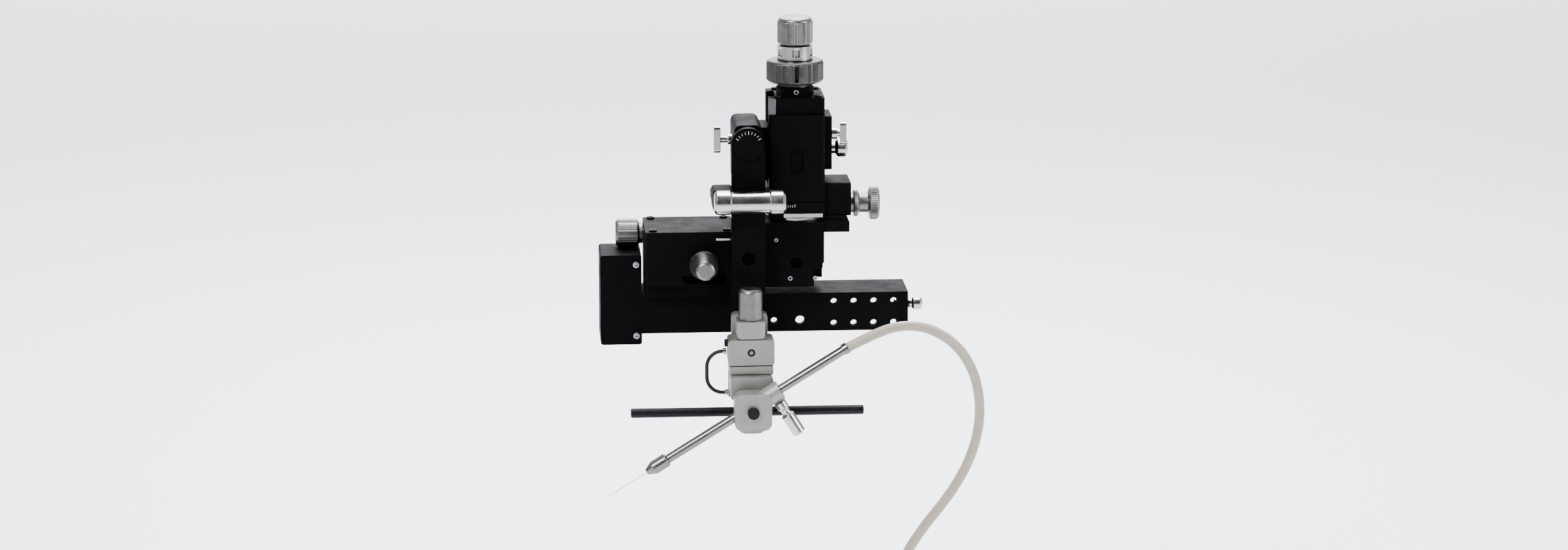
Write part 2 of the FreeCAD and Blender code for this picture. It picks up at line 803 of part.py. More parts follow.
def make_x_knob():
    """The knurled knob at the housing's left end and the long X lead screw."""
    start = "stage_left - seat_gap - x_knob_length"
    profile = [
        ("0", "0"), ("0", "x_knob_radius - 1"), ("1", "x_knob_radius"),
        ("x_knob_length - 2.2", "x_knob_radius"), ("x_knob_length - 1.6", "x_knob_radius - 1.4"),
        ("x_knob_length", "x_knob_radius - 1.4"), ("x_knob_length", "0"),
    ]
    knob = turned("X", ("x_screw_y", "x_screw_z"), start, profile)
    bore = rod("X", ("x_screw_y", "x_screw_z"), "x_screw_radius",
               ("stage_left - seat_gap - 7", "stage_left"))
    node("x_knob", cut(knob, bore))
    node("x_lead_screw", rod("X", ("x_screw_y", "x_screw_z"), "x_screw_radius",
                             ("stage_left - seat_gap - 7", "rail_right - 0.5")))


def make_carriage():
    """The X carriage: a top plate, a front apron with the gib groove, and a limit block."""
    top = box(("carriage_left", "carriage_right"), ("-carriage_front", "housing_back"),
              ("carriage_bottom", "carriage_top"))
    outline = [
        ("carriage_left", "apron_bottom"),
        ("carriage_right - apron_notch", "apron_bottom"),
        ("carriage_right - apron_notch", "apron_bottom + 7"),
        ("carriage_right", "apron_bottom + 11"),
        ("carriage_right", "carriage_bottom + 0.1"),
        ("carriage_left", "carriage_bottom + 0.1"),
    ]
    apron = milled("XZ", outline, "-carriage_front", "-rail_front - slide_gap")
    limit = box(("carriage_right", "carriage_right + limit_block_length"),
                ("-carriage_front + 2", "-2"),
                ("carriage_bottom - limit_block_drop", "carriage_top - 0.2"))
    groove = milled("YZ", swapped(dovetail("rail_key_z", "rail_key_root + 2 * dovetail_gap",
                                           "rail_key_tip + 2 * dovetail_gap", "-rail_front",
                                           "-rail_front - rail_key_depth - dovetail_gap")),
                    "carriage_left - 1", "carriage_right + 1")
    holes = [rod("Z", ("turret_x", "turret_y"), "pivot_radius + running_fit",
                 ("carriage_bottom - 1", "carriage_top + 1"))]
    holes.append(rod("Y", ("carriage_left + 27", "apron_bottom + 11"), "2.6",
                     ("-carriage_front - 1", "-carriage_front + 2.5")))
    node("x_carriage", cut(fuse(top, apron, limit), groove, *holes))


def make_x_nut():
    """The brass nut under the carriage's top plate, in the rail's channel."""
    half = "x_channel_radius - 0.4"
    start = "carriage_left + 6"
    nut = box((start, f"{start} + x_nut_length"), (f"x_screw_y - ({half})", f"x_screw_y + ({half})"),
              (f"x_screw_z - ({half})", "carriage_bottom"))
    bore = rod("X", ("x_screw_y", "x_screw_z"), "x_screw_radius + running_fit",
               (f"{start} - 1", f"{start} + x_nut_length + 1"))
    node("x_nut", cut(nut, bore))


# ---------------------------------------------------------------- turret and cross slide

def make_turret():
    """The swing-out turret: a bright ring, a pivot, the cross slide's base and its end block."""
    centre = ("turret_x", "turret_y")
    ring = rod("Z", centre, "ring_radius", ("carriage_top", "cross_bottom"))
    pivot = rod("Z", centre, "pivot_radius", ("carriage_bottom + seat_gap", "carriage_top + 0.1"))
    node("swivel_ring", fuse(ring, pivot))
    base = milled("XY", rectangle(("cross_left", "cross_right"), ("cross_front", "cross_back")),
                  "cross_bottom", "cross_top", "block_round")
    key = milled("YZ", dovetail("turret_y", "cross_key_root", "cross_key_tip", "cross_top",
                                "cross_top + cross_rail_height"), "cross_left", "cross_right")
    channel = box(("cross_left + 2", "cross_right + 1"),
                  ("turret_y - cross_channel_radius", "turret_y + cross_channel_radius"),
                  ("cross_screw_z - cross_channel_radius", "cross_top + 10"))
    bore = rod("X", ("turret_y", "cross_screw_z"), "cross_screw_radius + running_fit",
               ("cross_left - 1", "cross_right + 1"))
    node("cross_base", cut(fuse(base, key), channel, bore))
    y = ("turret_y - end_block_depth / 2", "turret_y + end_block_depth / 2")
    block = milled("YZ", rectangle(y, ("cross_bottom", "cross_top + end_block_rise")), "cross_right",
                   "end_block_right", "block_round")
    hole = rod("X", ("turret_y", "cross_screw_z"), "cross_screw_radius + running_fit",
               ("cross_right - 1", "end_block_right + 1"))
    node("cross_end_block", cut(block, hole))


def make_spool():
    """The waisted cross-slide knob at the right, and its screw."""
    profile = [
        ("0", "0"), ("0", "spool_waist"), ("1.5", "spool_waist"), ("1.5", "spool_radius - 1.4"),
        ("3.5", "spool_radius - 1.4"), ("4", "spool_waist"), ("spool_length - 5", "spool_waist"),
        ("spool_length - 4.2", "spool_radius"), ("spool_length - 0.6", "spool_radius"),
        ("spool_length", "spool_radius - 0.6"), ("spool_length", "0"),
    ]
    knob = turned("X", ("turret_y", "cross_screw_z"), "end_block_right + seat_gap", profile)
    bore = rod("X", ("turret_y", "cross_screw_z"), "cross_screw_radius",
               ("end_block_right", "end_block_right + seat_gap + 6"))
    node("cross_knob", cut(knob, bore))
    node("cross_screw", rod("X", ("turret_y", "cross_screw_z"), "cross_screw_radius",
                            ("cross_left + 2.5", "end_block_right + seat_gap + 6")))


def make_cross_plate():
    """The cross slide's moving plate, with the lug for the lock lever, and its nut."""
    plate = box(("cross_left", "cross_right"), ("cross_front", "cross_back"),
                ("plate_bottom", "plate_top"))
    groove = milled("YZ", dovetail("turret_y", "cross_key_root + 2 * dovetail_gap",
                                   "cross_key_tip + 2 * dovetail_gap", "cross_top",
                                   "cross_top + cross_rail_height + dovetail_gap"),
                    "cross_left - 1", "cross_right + 1")
    arm = box(("lever_x - 4.5", "cross_left + 1"), ("-lug_front", "cross_back - 12"),
              ("plate_bottom", "plate_top - 2.4"))
    lug = milled("XZ", rectangle(("lever_x - 4.5", "lever_x + 4.5"), ("plate_bottom - 2", "plate_top + 1")),
                 "-lug_front", "-lug_front + lug_depth", "block_round")
    bore = rod("Y", ("lever_x", "lever_z"), "lever_screw_radius + running_fit",
               ("-lug_front - 1", "-lug_front + lug_depth - 2"))
    node("cross_plate", cut(fuse(plate, arm, lug), groove, bore))
    half = "cross_channel_radius - 0.3"
    nut = box(("turret_x - cross_nut_length / 2", "turret_x + cross_nut_length / 2"),
              (f"turret_y - ({half})", f"turret_y + ({half})"),
              (f"cross_screw_z - ({half})", "cross_top + cross_rail_height + dovetail_gap"))
    hole = rod("X", ("turret_y", "cross_screw_z"), "cross_screw_radius + running_fit",
               ("turret_x - cross_nut_length", "turret_x + cross_nut_length"))
    node("cross_nut", cut(nut, hole))


def make_lever():
    """The long bright lock lever across the front, and the screw that it turns."""
    end = "lever_length"
    profile = [
        ("0", "0"), ("0", "lever_radius - 1.2"), ("1.2", "lever_radius"), ("7", "lever_radius"),
        ("7.6", "lever_radius - 0.6"), (f"{end} - 7", "lever_radius - 0.6"),
        (f"{end} - 6.4", "lever_radius"), (f"{end} - 1.2", "lever_radius"),
        (end, "lever_radius - 1.2"), (end, "0"),
    ]
    handle = turned("X", ("lever_y", "lever_z"), "lever_x - lever_head", profile)
    stem = rod("Y", ("lever_x", "lever_z"), "lever_screw_radius",
               ("lever_y", "-lug_front + lug_depth - 2.5"))
    node("lock_lever", fuse(handle, stem))


# ---------------------------------------------------------------- Z column and head

AXIS = ("turret_x", "turret_y")


def column_groove(low, high, gap):
    """The dovetail groove down the column's left side, or with no gap the tongue in it."""
    outline = swapped(dovetail("turret_y", f"groove_mouth + 2 * ({gap})",
                               f"groove_mouth + groove_flare + 2 * ({gap})",
                               "cross_left", f"cross_left + groove_depth + ({gap})"))
    return milled("XY", outline, low, high)


def make_column():
    """The hollow Z column, its cap with the coarse nut, the neck ring and the right side plate."""
    body = milled("XY", rectangle(("cross_left", "cross_right"), ("cross_front", "cross_back")),
                  "plate_top", "column_top", "block_round")
    bore = rod("Z", AXIS, "column_bore", ("plate_top + column_floor", "column_top + 1"))
    slot = box(("cross_left - 1", "turret_x"),
               ("turret_y - fine_nut_width / 2 - 0.4", "turret_y + fine_nut_width / 2 + 0.4"),
               ("plate_top + column_floor", "column_top + 1"))
    window = milled("XZ", rectangle(("turret_x - 3", "turret_x + 3"),
                                    ("plate_top + 6.5", "plate_top + 17.5")),
                    "cross_front - 1", "cross_front + 1.2", "2.9")
    groove = column_groove("plate_top", "column_top + 1", "dovetail_gap")
    locks = [rod("X", spot, "lock_screw_radius + running_fit", ("turret_x", "cross_right + 1"))
             for spot in lock_places()]
    bites = [rod("Z", spot, "cap_screw_radius + running_fit",
                 ("column_top - cap_screw_bite - tip_room", "column_top + 1"))
             for spot in cap_screw_places()]
    node("z_column", cut(body, bore, slot, window, groove, *locks, *bites))

    cap = milled("XY", rectangle(("cross_left", "cross_right"),
                                 ("cross_front + cap_step", "cross_back")),
                 "column_top", "cap_top", "block_round")
    cap_groove = column_groove("column_top - 1", "cap_top + 1", "dovetail_gap")
    cap_holes = [rod("Z", spot, "cap_screw_radius + running_fit", ("column_top - 1", "cap_top + 1"))
                 for spot in cap_screw_places()]
    node("column_cap", cut(cap, rod("Z", AXIS, "nut_ring_radius", ("column_top - 1", "cap_top + 1")),
                           cap_groove, *cap_holes))
    screws = [screw("Z", spot, "cap_top", 1, "cap_screw_head", "1", "cap_screw_radius",
                    "cap_height + cap_screw_bite") for spot in cap_screw_places()]
    node("cap_screws", group(*screws))
    neck = fuse(rod("Z", AXIS, "nut_ring_radius", ("column_top", "cap_top")),
                rod("Z", AXIS, "neck_radius", ("cap_top - 0.1", "cap_top + neck_height")))
    node("neck_nut", cut(neck, rod("Z", AXIS, "sleeve_radius + running_fit",
                                   ("column_top - 1", "cap_top + neck_height + 1"))))

    plate = milled("XZ", rectangle(("cross_right", "cross_right + side_plate_thick"),
                                   ("side_plate_z", "side_plate_z + side_plate_height")),
                   "turret_y - side_plate_depth / 2", "turret_y + side_plate_depth / 2")
    holes = [rod("X", spot, "lock_screw_radius + running_fit",
                 ("cross_right - 1", "cross_right + side_plate_thick + 1")) for spot in lock_places()]
    node("side_plate", cut(plate, *holes))


def cap_screw_places():
    return [(x, y) for x in ("cross_left + 4.2", "cross_right - 2.6")
            for y in ("cross_front + cap_step + 2.6", "cross_back - 2.8")]


def lock_places():
    """Across and up, the two Z lock screws on the side plate."""
    return [("turret_y - 4", "side_plate_z + 15.5"), ("turret_y + 3", "side_plate_z + 7.5")]


def make_locks():
    """The upper lock has a T head, and the lower one a round head."""
    out = "cross_right + side_plate_thick"
    tip = "turret_x + column_bore + 0.5"
    y, z = lock_places()[0]
    stem = rod("X", (y, z), "lock_screw_radius", (tip, f"{out} + 5"))
    collar = rod("X", (y, z), "2.6", (f"{out} + seat_gap", f"{out} + 2.6"))
    bar = milled("YZ", rectangle((f"{y} - 1.6", f"{y} + 1.6"), (f"{z} - 5", f"{z} + 5")),
                 f"{out} + 4", f"{out} + 6.8", "1.3")
    node("z_lock_upper", fuse(stem, collar, bar))
    y, z = lock_places()[1]
    profile = [
        ("0", "0"), ("0", "lock_screw_radius"), (f"{out} + seat_gap - ({tip})", "lock_screw_radius"),
        (f"{out} + seat_gap - ({tip})", "2.6"), (f"{out} + 2.4 - ({tip})", "2.6"),
        (f"{out} + 3.4 - ({tip})", "4.2"), (f"{out} + 7 - ({tip})", "4.2"),
        (f"{out} + 7.8 - ({tip})", "3.4"), (f"{out} + 7.8 - ({tip})", "0"),
    ]
    node("z_lock_lower", turned("X", (y, z), tip, profile))


def make_head():
    """What rises with the coarse drive: the hollow spindle with its shoulder, and the crown."""
    profile = [
        ("0", "spindle_radius - spindle_wall"), ("0", "sleeve_radius - 0.2"),
        ("2 - seat_gap", "sleeve_radius - 0.2"), ("2 - seat_gap", "spindle_radius"),
        ("crown_bottom + 3 - spindle_bottom", "spindle_radius"),
        ("crown_bottom + 3 - spindle_bottom", "spindle_radius - spindle_wall"),
    ]
    spindle = turned("Z", AXIS, "spindle_bottom", profile)
    crown = cut(rod("Z", AXIS, "crown_radius", ("crown_bottom", "crown_top")),
                rod("Z", AXIS, "spindle_radius", ("crown_bottom - 1", "crown_bottom + 3")),
                rod("Z", AXIS, "fine_screw_radius + running_fit", ("crown_bottom", "crown_top + 1")))
    notches = []
    for i in range(6):
        turn = i * 60
        notch = rod("Z", (f"turret_x + crown_radius * cos({turn} + 30)",
                          f"turret_y + crown_radius * sin({turn} + 30)"), "1.6",
                    ("crown_bottom + 1.6", "crown_top - 1.2"))
        notches.append(notch)
    node("z_spindle", fuse(spindle, cut(crown, *notches)))


def make_collar():
    """The big knurled coarse ring and the threaded sleeve that turns with it."""
    hollow = "collar_top - 2"
    ring = turned("Z", AXIS, "collar_bottom", [
        ("0", "sleeve_radius"), ("0", "collar_radius - 0.8"), ("0.8", "collar_radius"),
        ("collar_height - 0.8", "collar_radius"), ("collar_height", "collar_radius - 0.8"),
        ("collar_height", "spindle_radius + running_fit"),
        ("collar_height - 2", "spindle_radius + running_fit"), ("collar_height - 2", "sleeve_radius"),
    ])
    slit = box(("turret_x - 0.9", "turret_x + 0.9"),
               ("turret_y - collar_radius - 1", "turret_y - collar_radius + 2.2"),
               ("collar_bottom + 1.5", "collar_top - 1.5"))
    sleeve = cut(rod("Z", AXIS, "sleeve_radius", ("sleeve_bottom", hollow)),
                 rod("Z", AXIS, "spindle_radius + running_fit", ("sleeve_bottom - 1", "collar_top")))
    node("coarse_collar", fuse(cut(ring, slit), sleeve))


def make_fine_knob():
    """The top knob and the fine screw down the middle of the spindle."""
    profile = [
        ("0", "0"), ("0", "fine_knob_radius - 0.7"), ("0.7", "fine_knob_radius"),
        ("fine_knob_height - 2.2", "fine_knob_radius"), ("fine_knob_height - 1", "fine_knob_radius - 0.7"),
        ("fine_knob_height - 0.3", "fine_knob_radius - 2.2"), ("fine_knob_height", "fine_knob_radius - 4"),
        ("fine_knob_height", "0"),
    ]
    knob = turned("Z", AXIS, "knob_bottom", profile)
    bore = rod("Z", AXIS, "fine_screw_radius", ("knob_bottom - 1", "knob_bottom + 6"))
    node("fine_knob", cut(knob, bore))
    node("fine_screw", rod("Z", AXIS, "fine_screw_radius", ("fine_nut_bottom - 1", "knob_bottom + 6")))


# ---------------------------------------------------------------- slider, bracket and arm

def make_slider():
    """The Z slider in the column's groove, with the fine nut reaching in to the screw."""
    plate = box(("slider_left", "cross_left - seat_gap"),
                ("turret_y - slider_depth / 2", "turret_y + slider_depth / 2"),
                ("slider_bottom", "slider_bottom + slider_height"))
    root = box(("cross_left - 2 * seat_gap", "cross_left + seat_gap"),
               ("turret_y - groove_mouth / 2", "turret_y + groove_mouth / 2"),
               ("slider_bottom", "slider_bottom + slider_height"))
    tongue = column_groove("slider_bottom", "slider_bottom + slider_height", "0")
    node("z_slider", fuse(plate, root, tongue))
    nut = box(("cross_left + groove_depth", "turret_x + 4.5"),
              ("turret_y - fine_nut_width / 2", "turret_y + fine_nut_width / 2"),
              ("fine_nut_bottom", "fine_nut_top"))
    hole = rod("Z", AXIS, "fine_screw_radius + running_fit", ("fine_nut_bottom - 1", "fine_nut_top + 1"))
    node("fine_nut", cut(nut, hole))


def make_bracket():
    """The bracket on the slider that carries the arm's pivot, with its two screws."""
    body = milled("XZ", rectangle(("bracket_left", "slider_left"), ("bracket_bottom", "bracket_top")),
                  "-bracket_front", "bracket_back", "bracket_round")
    pin_hole = rod("Y", ("arm_x", "pivot_z"), "tilt_pin_radius + running_fit",
                   ("-bracket_front - 1", "tilt_pin_end + 0.5"))
    lock_hole = rod("X", tilt_lock_place(), "lock_screw_radius + running_fit",
                    ("bracket_left - 1", "arm_x - tilt_pin_radius + 0.3"))
    holes = []
    screws = []
    for y in ("turret_y - 5", "turret_y + 4.5"):
        spot = (y, "slider_bottom + slider_height / 2")
        seat = "bracket_left + 4"
        screws.append(screw("X", spot, seat, -1, "bracket_screw_head", "2.5", "bracket_screw_radius",
                            "bracket_width - 4.5"))
        holes.append(screw_hole("X", spot, seat, -1, "bracket_screw_head", "bracket_screw_radius",
                                "bracket_width"))
    node("tilt_bracket", cut(body, pin_hole, lock_hole, *holes))
    node("bracket_screws", group(*screws))


def tilt_lock_place():
    return "tilt_pin_end - 4", "pivot_z"


def make_tilt_lock():
    """The T-headed screw at the left that locks the arm's tilt."""
    y, z = tilt_lock_place()
    stem = rod("X", (y, z), "lock_screw_radius",
               ("bracket_left - 6.5", "arm_x - tilt_pin_radius - 0.1"))
    collar = rod("X", (y, z), "2.4", ("bracket_left - 2.4", "bracket_left - seat_gap"))
    bar = milled("YZ", rectangle((f"{y} - 1.7", f"{y} + 1.7"), (f"{z} - 6", f"{z} + 6")),
                 "bracket_left - 8.6", "bracket_left - 5.6", "1.4")
    node("tilt_lock", fuse(stem, collar, bar))


def make_arm():
    """The tilting arm that hangs from the bracket, its pivot pin and the plain angle dial."""
    half = "arm_width / 2"
    bar = milled("XZ", rectangle((f"arm_x - {half}", f"arm_x + {half}"),
                                 ("arm_bottom", "pivot_z + arm_width / 2")),
                 "arm_front", "-arm_back", "arm_round")
    pin_hole = rod("Y", ("arm_x", "pivot_z"), "tilt_pin_radius", ("arm_front - 1", "-arm_back + 1"))
    window = rod("Y", ("arm_x", "arm_bottom + 32.5"), "arm_window_radius",
                 ("arm_front - 1", "-arm_back + 1"))
    screws = []
    holes = []
    for x in ("arm_x - 4.5", "arm_x + 4.5"):
        spot = (x, "arm_bottom + backplate_rise / 2")
        screws.append(screw("Y", spot, "-arm_back", 1, "arm_screw_head", "1.6", "arm_screw_radius",
                            "arm_thick + backplate_thick - 2"))
        holes.append(rod("Y", spot, "arm_screw_radius + running_fit", ("arm_front - 1", "-arm_back + 1")))
    node("tilt_arm", cut(bar, pin_hole, window, *holes))
    node("arm_screws", group(*screws))
    dial = rod("Y", ("arm_x", "pivot_z"), "dial_radius", ("arm_front - dial_thick", "arm_front"))
    pin = rod("Y", ("arm_x", "pivot_z"), "tilt_pin_radius", ("arm_front - 0.1", "tilt_pin_end"))
    node("tilt_pin", fuse(dial, pin))


# ---------------------------------------------------------------- fine drive

def make_backplate(arm_screw_spots):
    """The fine drive's backplate and the upright oil cylinder on its base."""
    x = ("arm_x - backplate_width / 2", "arm_x + backplate_width / 2")
    plate = milled("XZ", rectangle(x, ("backplate_bottom", "backplate_top")), "backplate_front",
                   "arm_front", "2")
    holes = [rod("Y", (spot, "arm_bottom + backplate_rise / 2"), "arm_screw_radius + running_fit",
                 ("arm_front - backplate_thick + 1.5", "arm_front + 1")) for spot in arm_screw_spots]
    half = "cylinder_base_width / 2"
    base = milled("XY", rectangle((f"arm_x - {half}", f"arm_x + {half}"),
                                  ("backplate_front - cylinder_base_depth", "backplate_front + 3")),
                  "base_floor", "cylinder_bottom", "2.5")
    centre = ("arm_x", "cylinder_y")
    piston_bore = rod("Z", centre, "piston_radius + running_fit",
                      ("base_floor - 1", "cylinder_bottom + 1"))
    node("fine_backplate", cut(fuse(plate, base), piston_bore, *holes))
    tube = turned("Z", centre, "cylinder_bottom", [
        ("0", "cylinder_bore"), ("0", "cylinder_radius"), ("cylinder_height - 1.4", "cylinder_radius"),
        ("cylinder_height", "cylinder_radius - 1"), ("cylinder_height", "0"),
        ("cylinder_height - 3", "0"), ("cylinder_height - 3", "cylinder_bore"),
    ])
    node("oil_cylinder", tube)


def make_fine_z():
    """The fine Z block with its piston, and the small screw in its face."""
    half = "fine_block_width / 2"
    block = milled("XZ", rectangle((f"arm_x - {half}", f"arm_x + {half}"),
                                   ("fine_block_bottom", "fine_block_top")),
                   "fine_block_front", "fine_block_back", "fine_round")
    room = box(("arm_x - ram_radius - seat_gap", "arm_x + ram_radius + seat_gap"),
               ("fine_block_back - 2 - 2 * fine_y_travel - tab_thick - seat_gap",
                "fine_block_back - 2 + seat_gap"),
               ("fine_block_bottom - 1", "ram_y_z + ram_radius"))
    node("fine_z_block", cut(block, room))
    centre = ("arm_x", "cylinder_y")
    rod_top = "cylinder_bottom + cylinder_height - 5.2"
    node("fine_piston", fuse(rod("Z", centre, "piston_radius", ("fine_block_top", rod_top)),
                             rod("Z", centre, "cylinder_bore - running_fit", (f"{rod_top} - 2", rod_top))))


def make_yoke():
    """The fine Y yoke: a top plate, a leg down behind the tool block, and its oil line."""
    half = "yoke_width / 2"
    x = (f"arm_x - {half}", f"arm_x + {half}")
    top = box(x, ("fine_block_front", "fine_block_back"), ("yoke_low", "yoke_high"))
    leg = box(x, ("leg_front", "leg_front + yoke_leg_thick"), ("leg_bottom", "yoke_low + 0.1"))
    tab = box(("arm_x - ram_radius", "arm_x + ram_radius"),
              ("fine_block_back - 2 - fine_y_travel - tab_thick",
               "fine_block_back - 2 - fine_y_travel"),
              ("yoke_high - 0.1", "ram_y_z + ram_radius - 0.6"))
    node("fine_y_yoke", fuse(top, leg, tab))
    make_oil_line(x[0])


def make_oil_line(side):
    """A thin oil line that bows out at the left, from the upper block down to the yoke's foot."""
    y = number("leg_front + yoke_leg_thick / 2")
    bend = number("hose_bend")
    out = number(f"{side} - hose_port")
    far = out - bend
    diagonal = out - bend * math.sqrt(0.5)
    deep = bend * (1 - math.sqrt(0.5))
    top = V(number("arm_x - fine_block_width / 2 - seat_gap"), y,
            number("fine_block_bottom + hose_rise"))
    end = V(number(side), y, number("leg_bottom + hose_foot"))
    corners = [V(out, y, top.z), V(far, y, top.z - bend), V(far, y, end.z + bend), V(out, y, end.z)]
    path = Part.Wire([
        Part.LineSegment(top, corners[0]).toShape(),
        Part.Arc(corners[0], V(diagonal, y, top.z - deep), corners[1]).toShape(),
        Part.LineSegment(corners[1], corners[2]).toShape(),
        Part.Arc(corners[2], V(diagonal, y, end.z + deep), corners[3]).toShape(),
        Part.LineSegment(corners[3], end).toShape(),
    ])
    circle = Part.Circle(top, V(-1, 0, 0), number("hose_radius"))
    line = doc.addObject("Part::Feature", "line")
    line.Shape = path.makePipeShell([Part.Wire([circle.toShape()])], True, False)
    node("oil_line", line)


def make_tool_block():
    """The fine X block with the ear that holds the rod and the clamp's pivot, and its ram."""
    half = "tool_block_width / 2"
    block = milled("XZ", rectangle((f"arm_x - {half}", f"arm_x + {half}"),
                                   ("tool_block_bottom", "tool_block_top")),
                   "tool_block_front", "tool_block_back", "fine_round")
    ear_half = "ear_width / 2"
    ear = milled("XZ", rectangle((f"arm_x - {ear_half}", f"arm_x + {ear_half}"),
                                 ("ear_bottom", "tool_block_bottom + 4")),
                 "tool_block_front", "tool_block_front + ear_depth", "ear_round")
    rod_hole = rod("X", ("rod_y", "rod_z"), "rod_radius + running_fit",
                   (f"arm_x - {half}", f"arm_x + {half}"))
    pin_hole = rod("Y", ("arm_x", "clamp_z"), "clamp_pin_radius + running_fit",
                   ("tool_block_front - 1", "tool_block_front + clamp_pin_reach + 0.1"))
    node("fine_x_block", cut(fuse(block, ear), rod_hole, pin_hole))


# ---------------------------------------------------------------- rod, clamp and holder

def make_rod():
    node("support_rod", turned("X", ("rod_y", "rod_z"), "rod_left", [
        ("0", "0"), ("0", "rod_radius - 0.4"), ("0.4", "rod_radius"),
        ("rod_length - 0.4", "rod_radius"), ("rod_length", "rod_radius - 0.4"), ("rod_length", "0"),
    ]))


def make_clamp():
    """The rounded clamp, bored on the slope for the holder, with its sleeve, pivot and screw."""
    half = "clamp_size / 2"
    block = milled("XZ", rectangle((f"arm_x - {half}", f"arm_x + {half}"),
                                   (f"clamp_z - {half}", f"clamp_z + {half}")),
                   "clamp_front", "clamp_back", "clamp_round")
    pin = rod("Y", ("arm_x", "clamp_z"), "clamp_pin_radius",
              ("clamp_back - 0.5", "tool_block_front + clamp_pin_reach"))
    sleeve = sloped_rod("clamp_sleeve_radius", "0", "wing_along + 3.2")
    bore = sloped_rod("holder_radius + running_fit", "-20", "20")
    face_hole = rod("Y", ("arm_x", "clamp_z"), "clamp_screw_radius + running_fit",
                    ("clamp_front - 1", "holder_y"))
    wing_hole = wing_rod("wing_radius + running_fit", "0", "9")
    node("tool_clamp", cut(fuse(block, pin, sleeve), bore, face_hole, wing_hole))
    node("clamp_screw", screw("Y", ("arm_x", "clamp_z"), "clamp_front - seat_gap", -1,
                              "clamp_screw_head", "2", "clamp_screw_radius",
                              "clamp_depth / 2 - holder_radius - 0.6"))


def across_slope(solid, down):
    """Lays a solid that was made along X square to the holder, under the clamp's sleeve."""
    solid.Placement.Rotation = FreeCAD.Rotation(V(0, 1, 0), 1)
    bind(solid, "Placement.Rotation.Angle", "90 - holder_slope")
    put(solid, f"arm_x + wing_along * cos(holder_slope) + ({down}) * sin(holder_slope)", "holder_y",
        f"holder_z + wing_along * sin(holder_slope) - ({down}) * cos(holder_slope)")
    return solid


def wing_rod(radius, start, end):
    solid = turned("X", ("0", "0"), "0", rectangle(("0", f"({end}) - ({start})"), ("0", radius)))
    return across_slope(solid, start)


def make_wing_screw():
    """The thumbscrew under the sleeve that grips the holder."""
    stem = "clamp_sleeve_radius + seat_gap - holder_radius - seat_gap"
    profile = [
        ("0", "0"), ("0", "wing_radius"), (stem, "wing_radius"), (stem, "2.7"),
        (f"{stem} + 3", "2.7"), (f"{stem} + 4", "1.9"), (f"{stem} + 6", "1.9"),
        (f"{stem} + 7", "3"), (f"{stem} + wing_length - 0.8", "3"),
        (f"{stem} + wing_length", "2.2"), (f"{stem} + wing_length", "0"),
    ]
    node("wing_screw", across_slope(turned("X", ("0", "0"), "0", profile), "holder_radius + seat_gap"))


def make_holder():
    """The pipette holder: a steel barrel, a knurled chuck nut, the glass and the rear barb."""
    barrel = sloped_turned("-holder_front", [
        ("0", "capillary_radius + running_fit"), ("0", "holder_radius - 0.5"),
        ("4", "holder_radius - 0.5"), ("4", "holder_radius"),
        ("holder_front + holder_rear", "holder_radius"),
        ("holder_front + holder_rear", "holder_radius + 0.5"),
        ("holder_front + holder_rear + barb_length", "holder_radius + 0.5"),
        ("holder_front + holder_rear + barb_length", "0"),
        ("12", "0"), ("12", "capillary_radius + running_fit"),
    ])
    node("pipette_holder", barrel)
    nut = sloped_turned("-holder_front - chuck_length + 4 - seat_gap", [
        ("0", "capillary_radius + running_fit"), ("0", "capillary_radius + 0.8"),
        ("3", "chuck_radius - 0.4"), ("3.5", "chuck_radius"), ("chuck_length - 0.6", "chuck_radius"),
        ("chuck_length", "chuck_radius - 0.6"), ("chuck_length", "holder_radius - 0.5 + running_fit"),
        ("chuck_length - 4.2", "holder_radius - 0.5 + running_fit"),
        ("chuck_length - 4.2", "capillary_radius + running_fit"),
    ])
    node("chuck_nut", nut)
    glass = sloped_turned("-holder_front - chuck_length - capillary_length + 4", [
        ("0", "0"), ("0", "0.12"), ("8", "capillary_radius"),
        ("capillary_length + chuck_length + 3", "capillary_radius"),
        ("capillary_length + chuck_length + 3", "0"),
    ])
    node("glass_pipette", glass)


# ---------------------------------------------------------------- tube

# the tube's route after the barb, as (x, y, z) from the end of the barb
TUBE_TURNS = [
    (13, 0.5, 6.5),
    (24, 1, 9.5),
    (36, 2, 8),
    (48, 3, 0.5),
    (56, 4, -11.5),
    (59.5, 5, -26),
    (59, 6, -41),
    (54.5, 7, -56),
    (46, 8, -71),
    (35, 9, -85),
    (26.5, 9.5, -98.5),
    (22, 9.5, -115),
    (22, 9.5, -133.5),
]


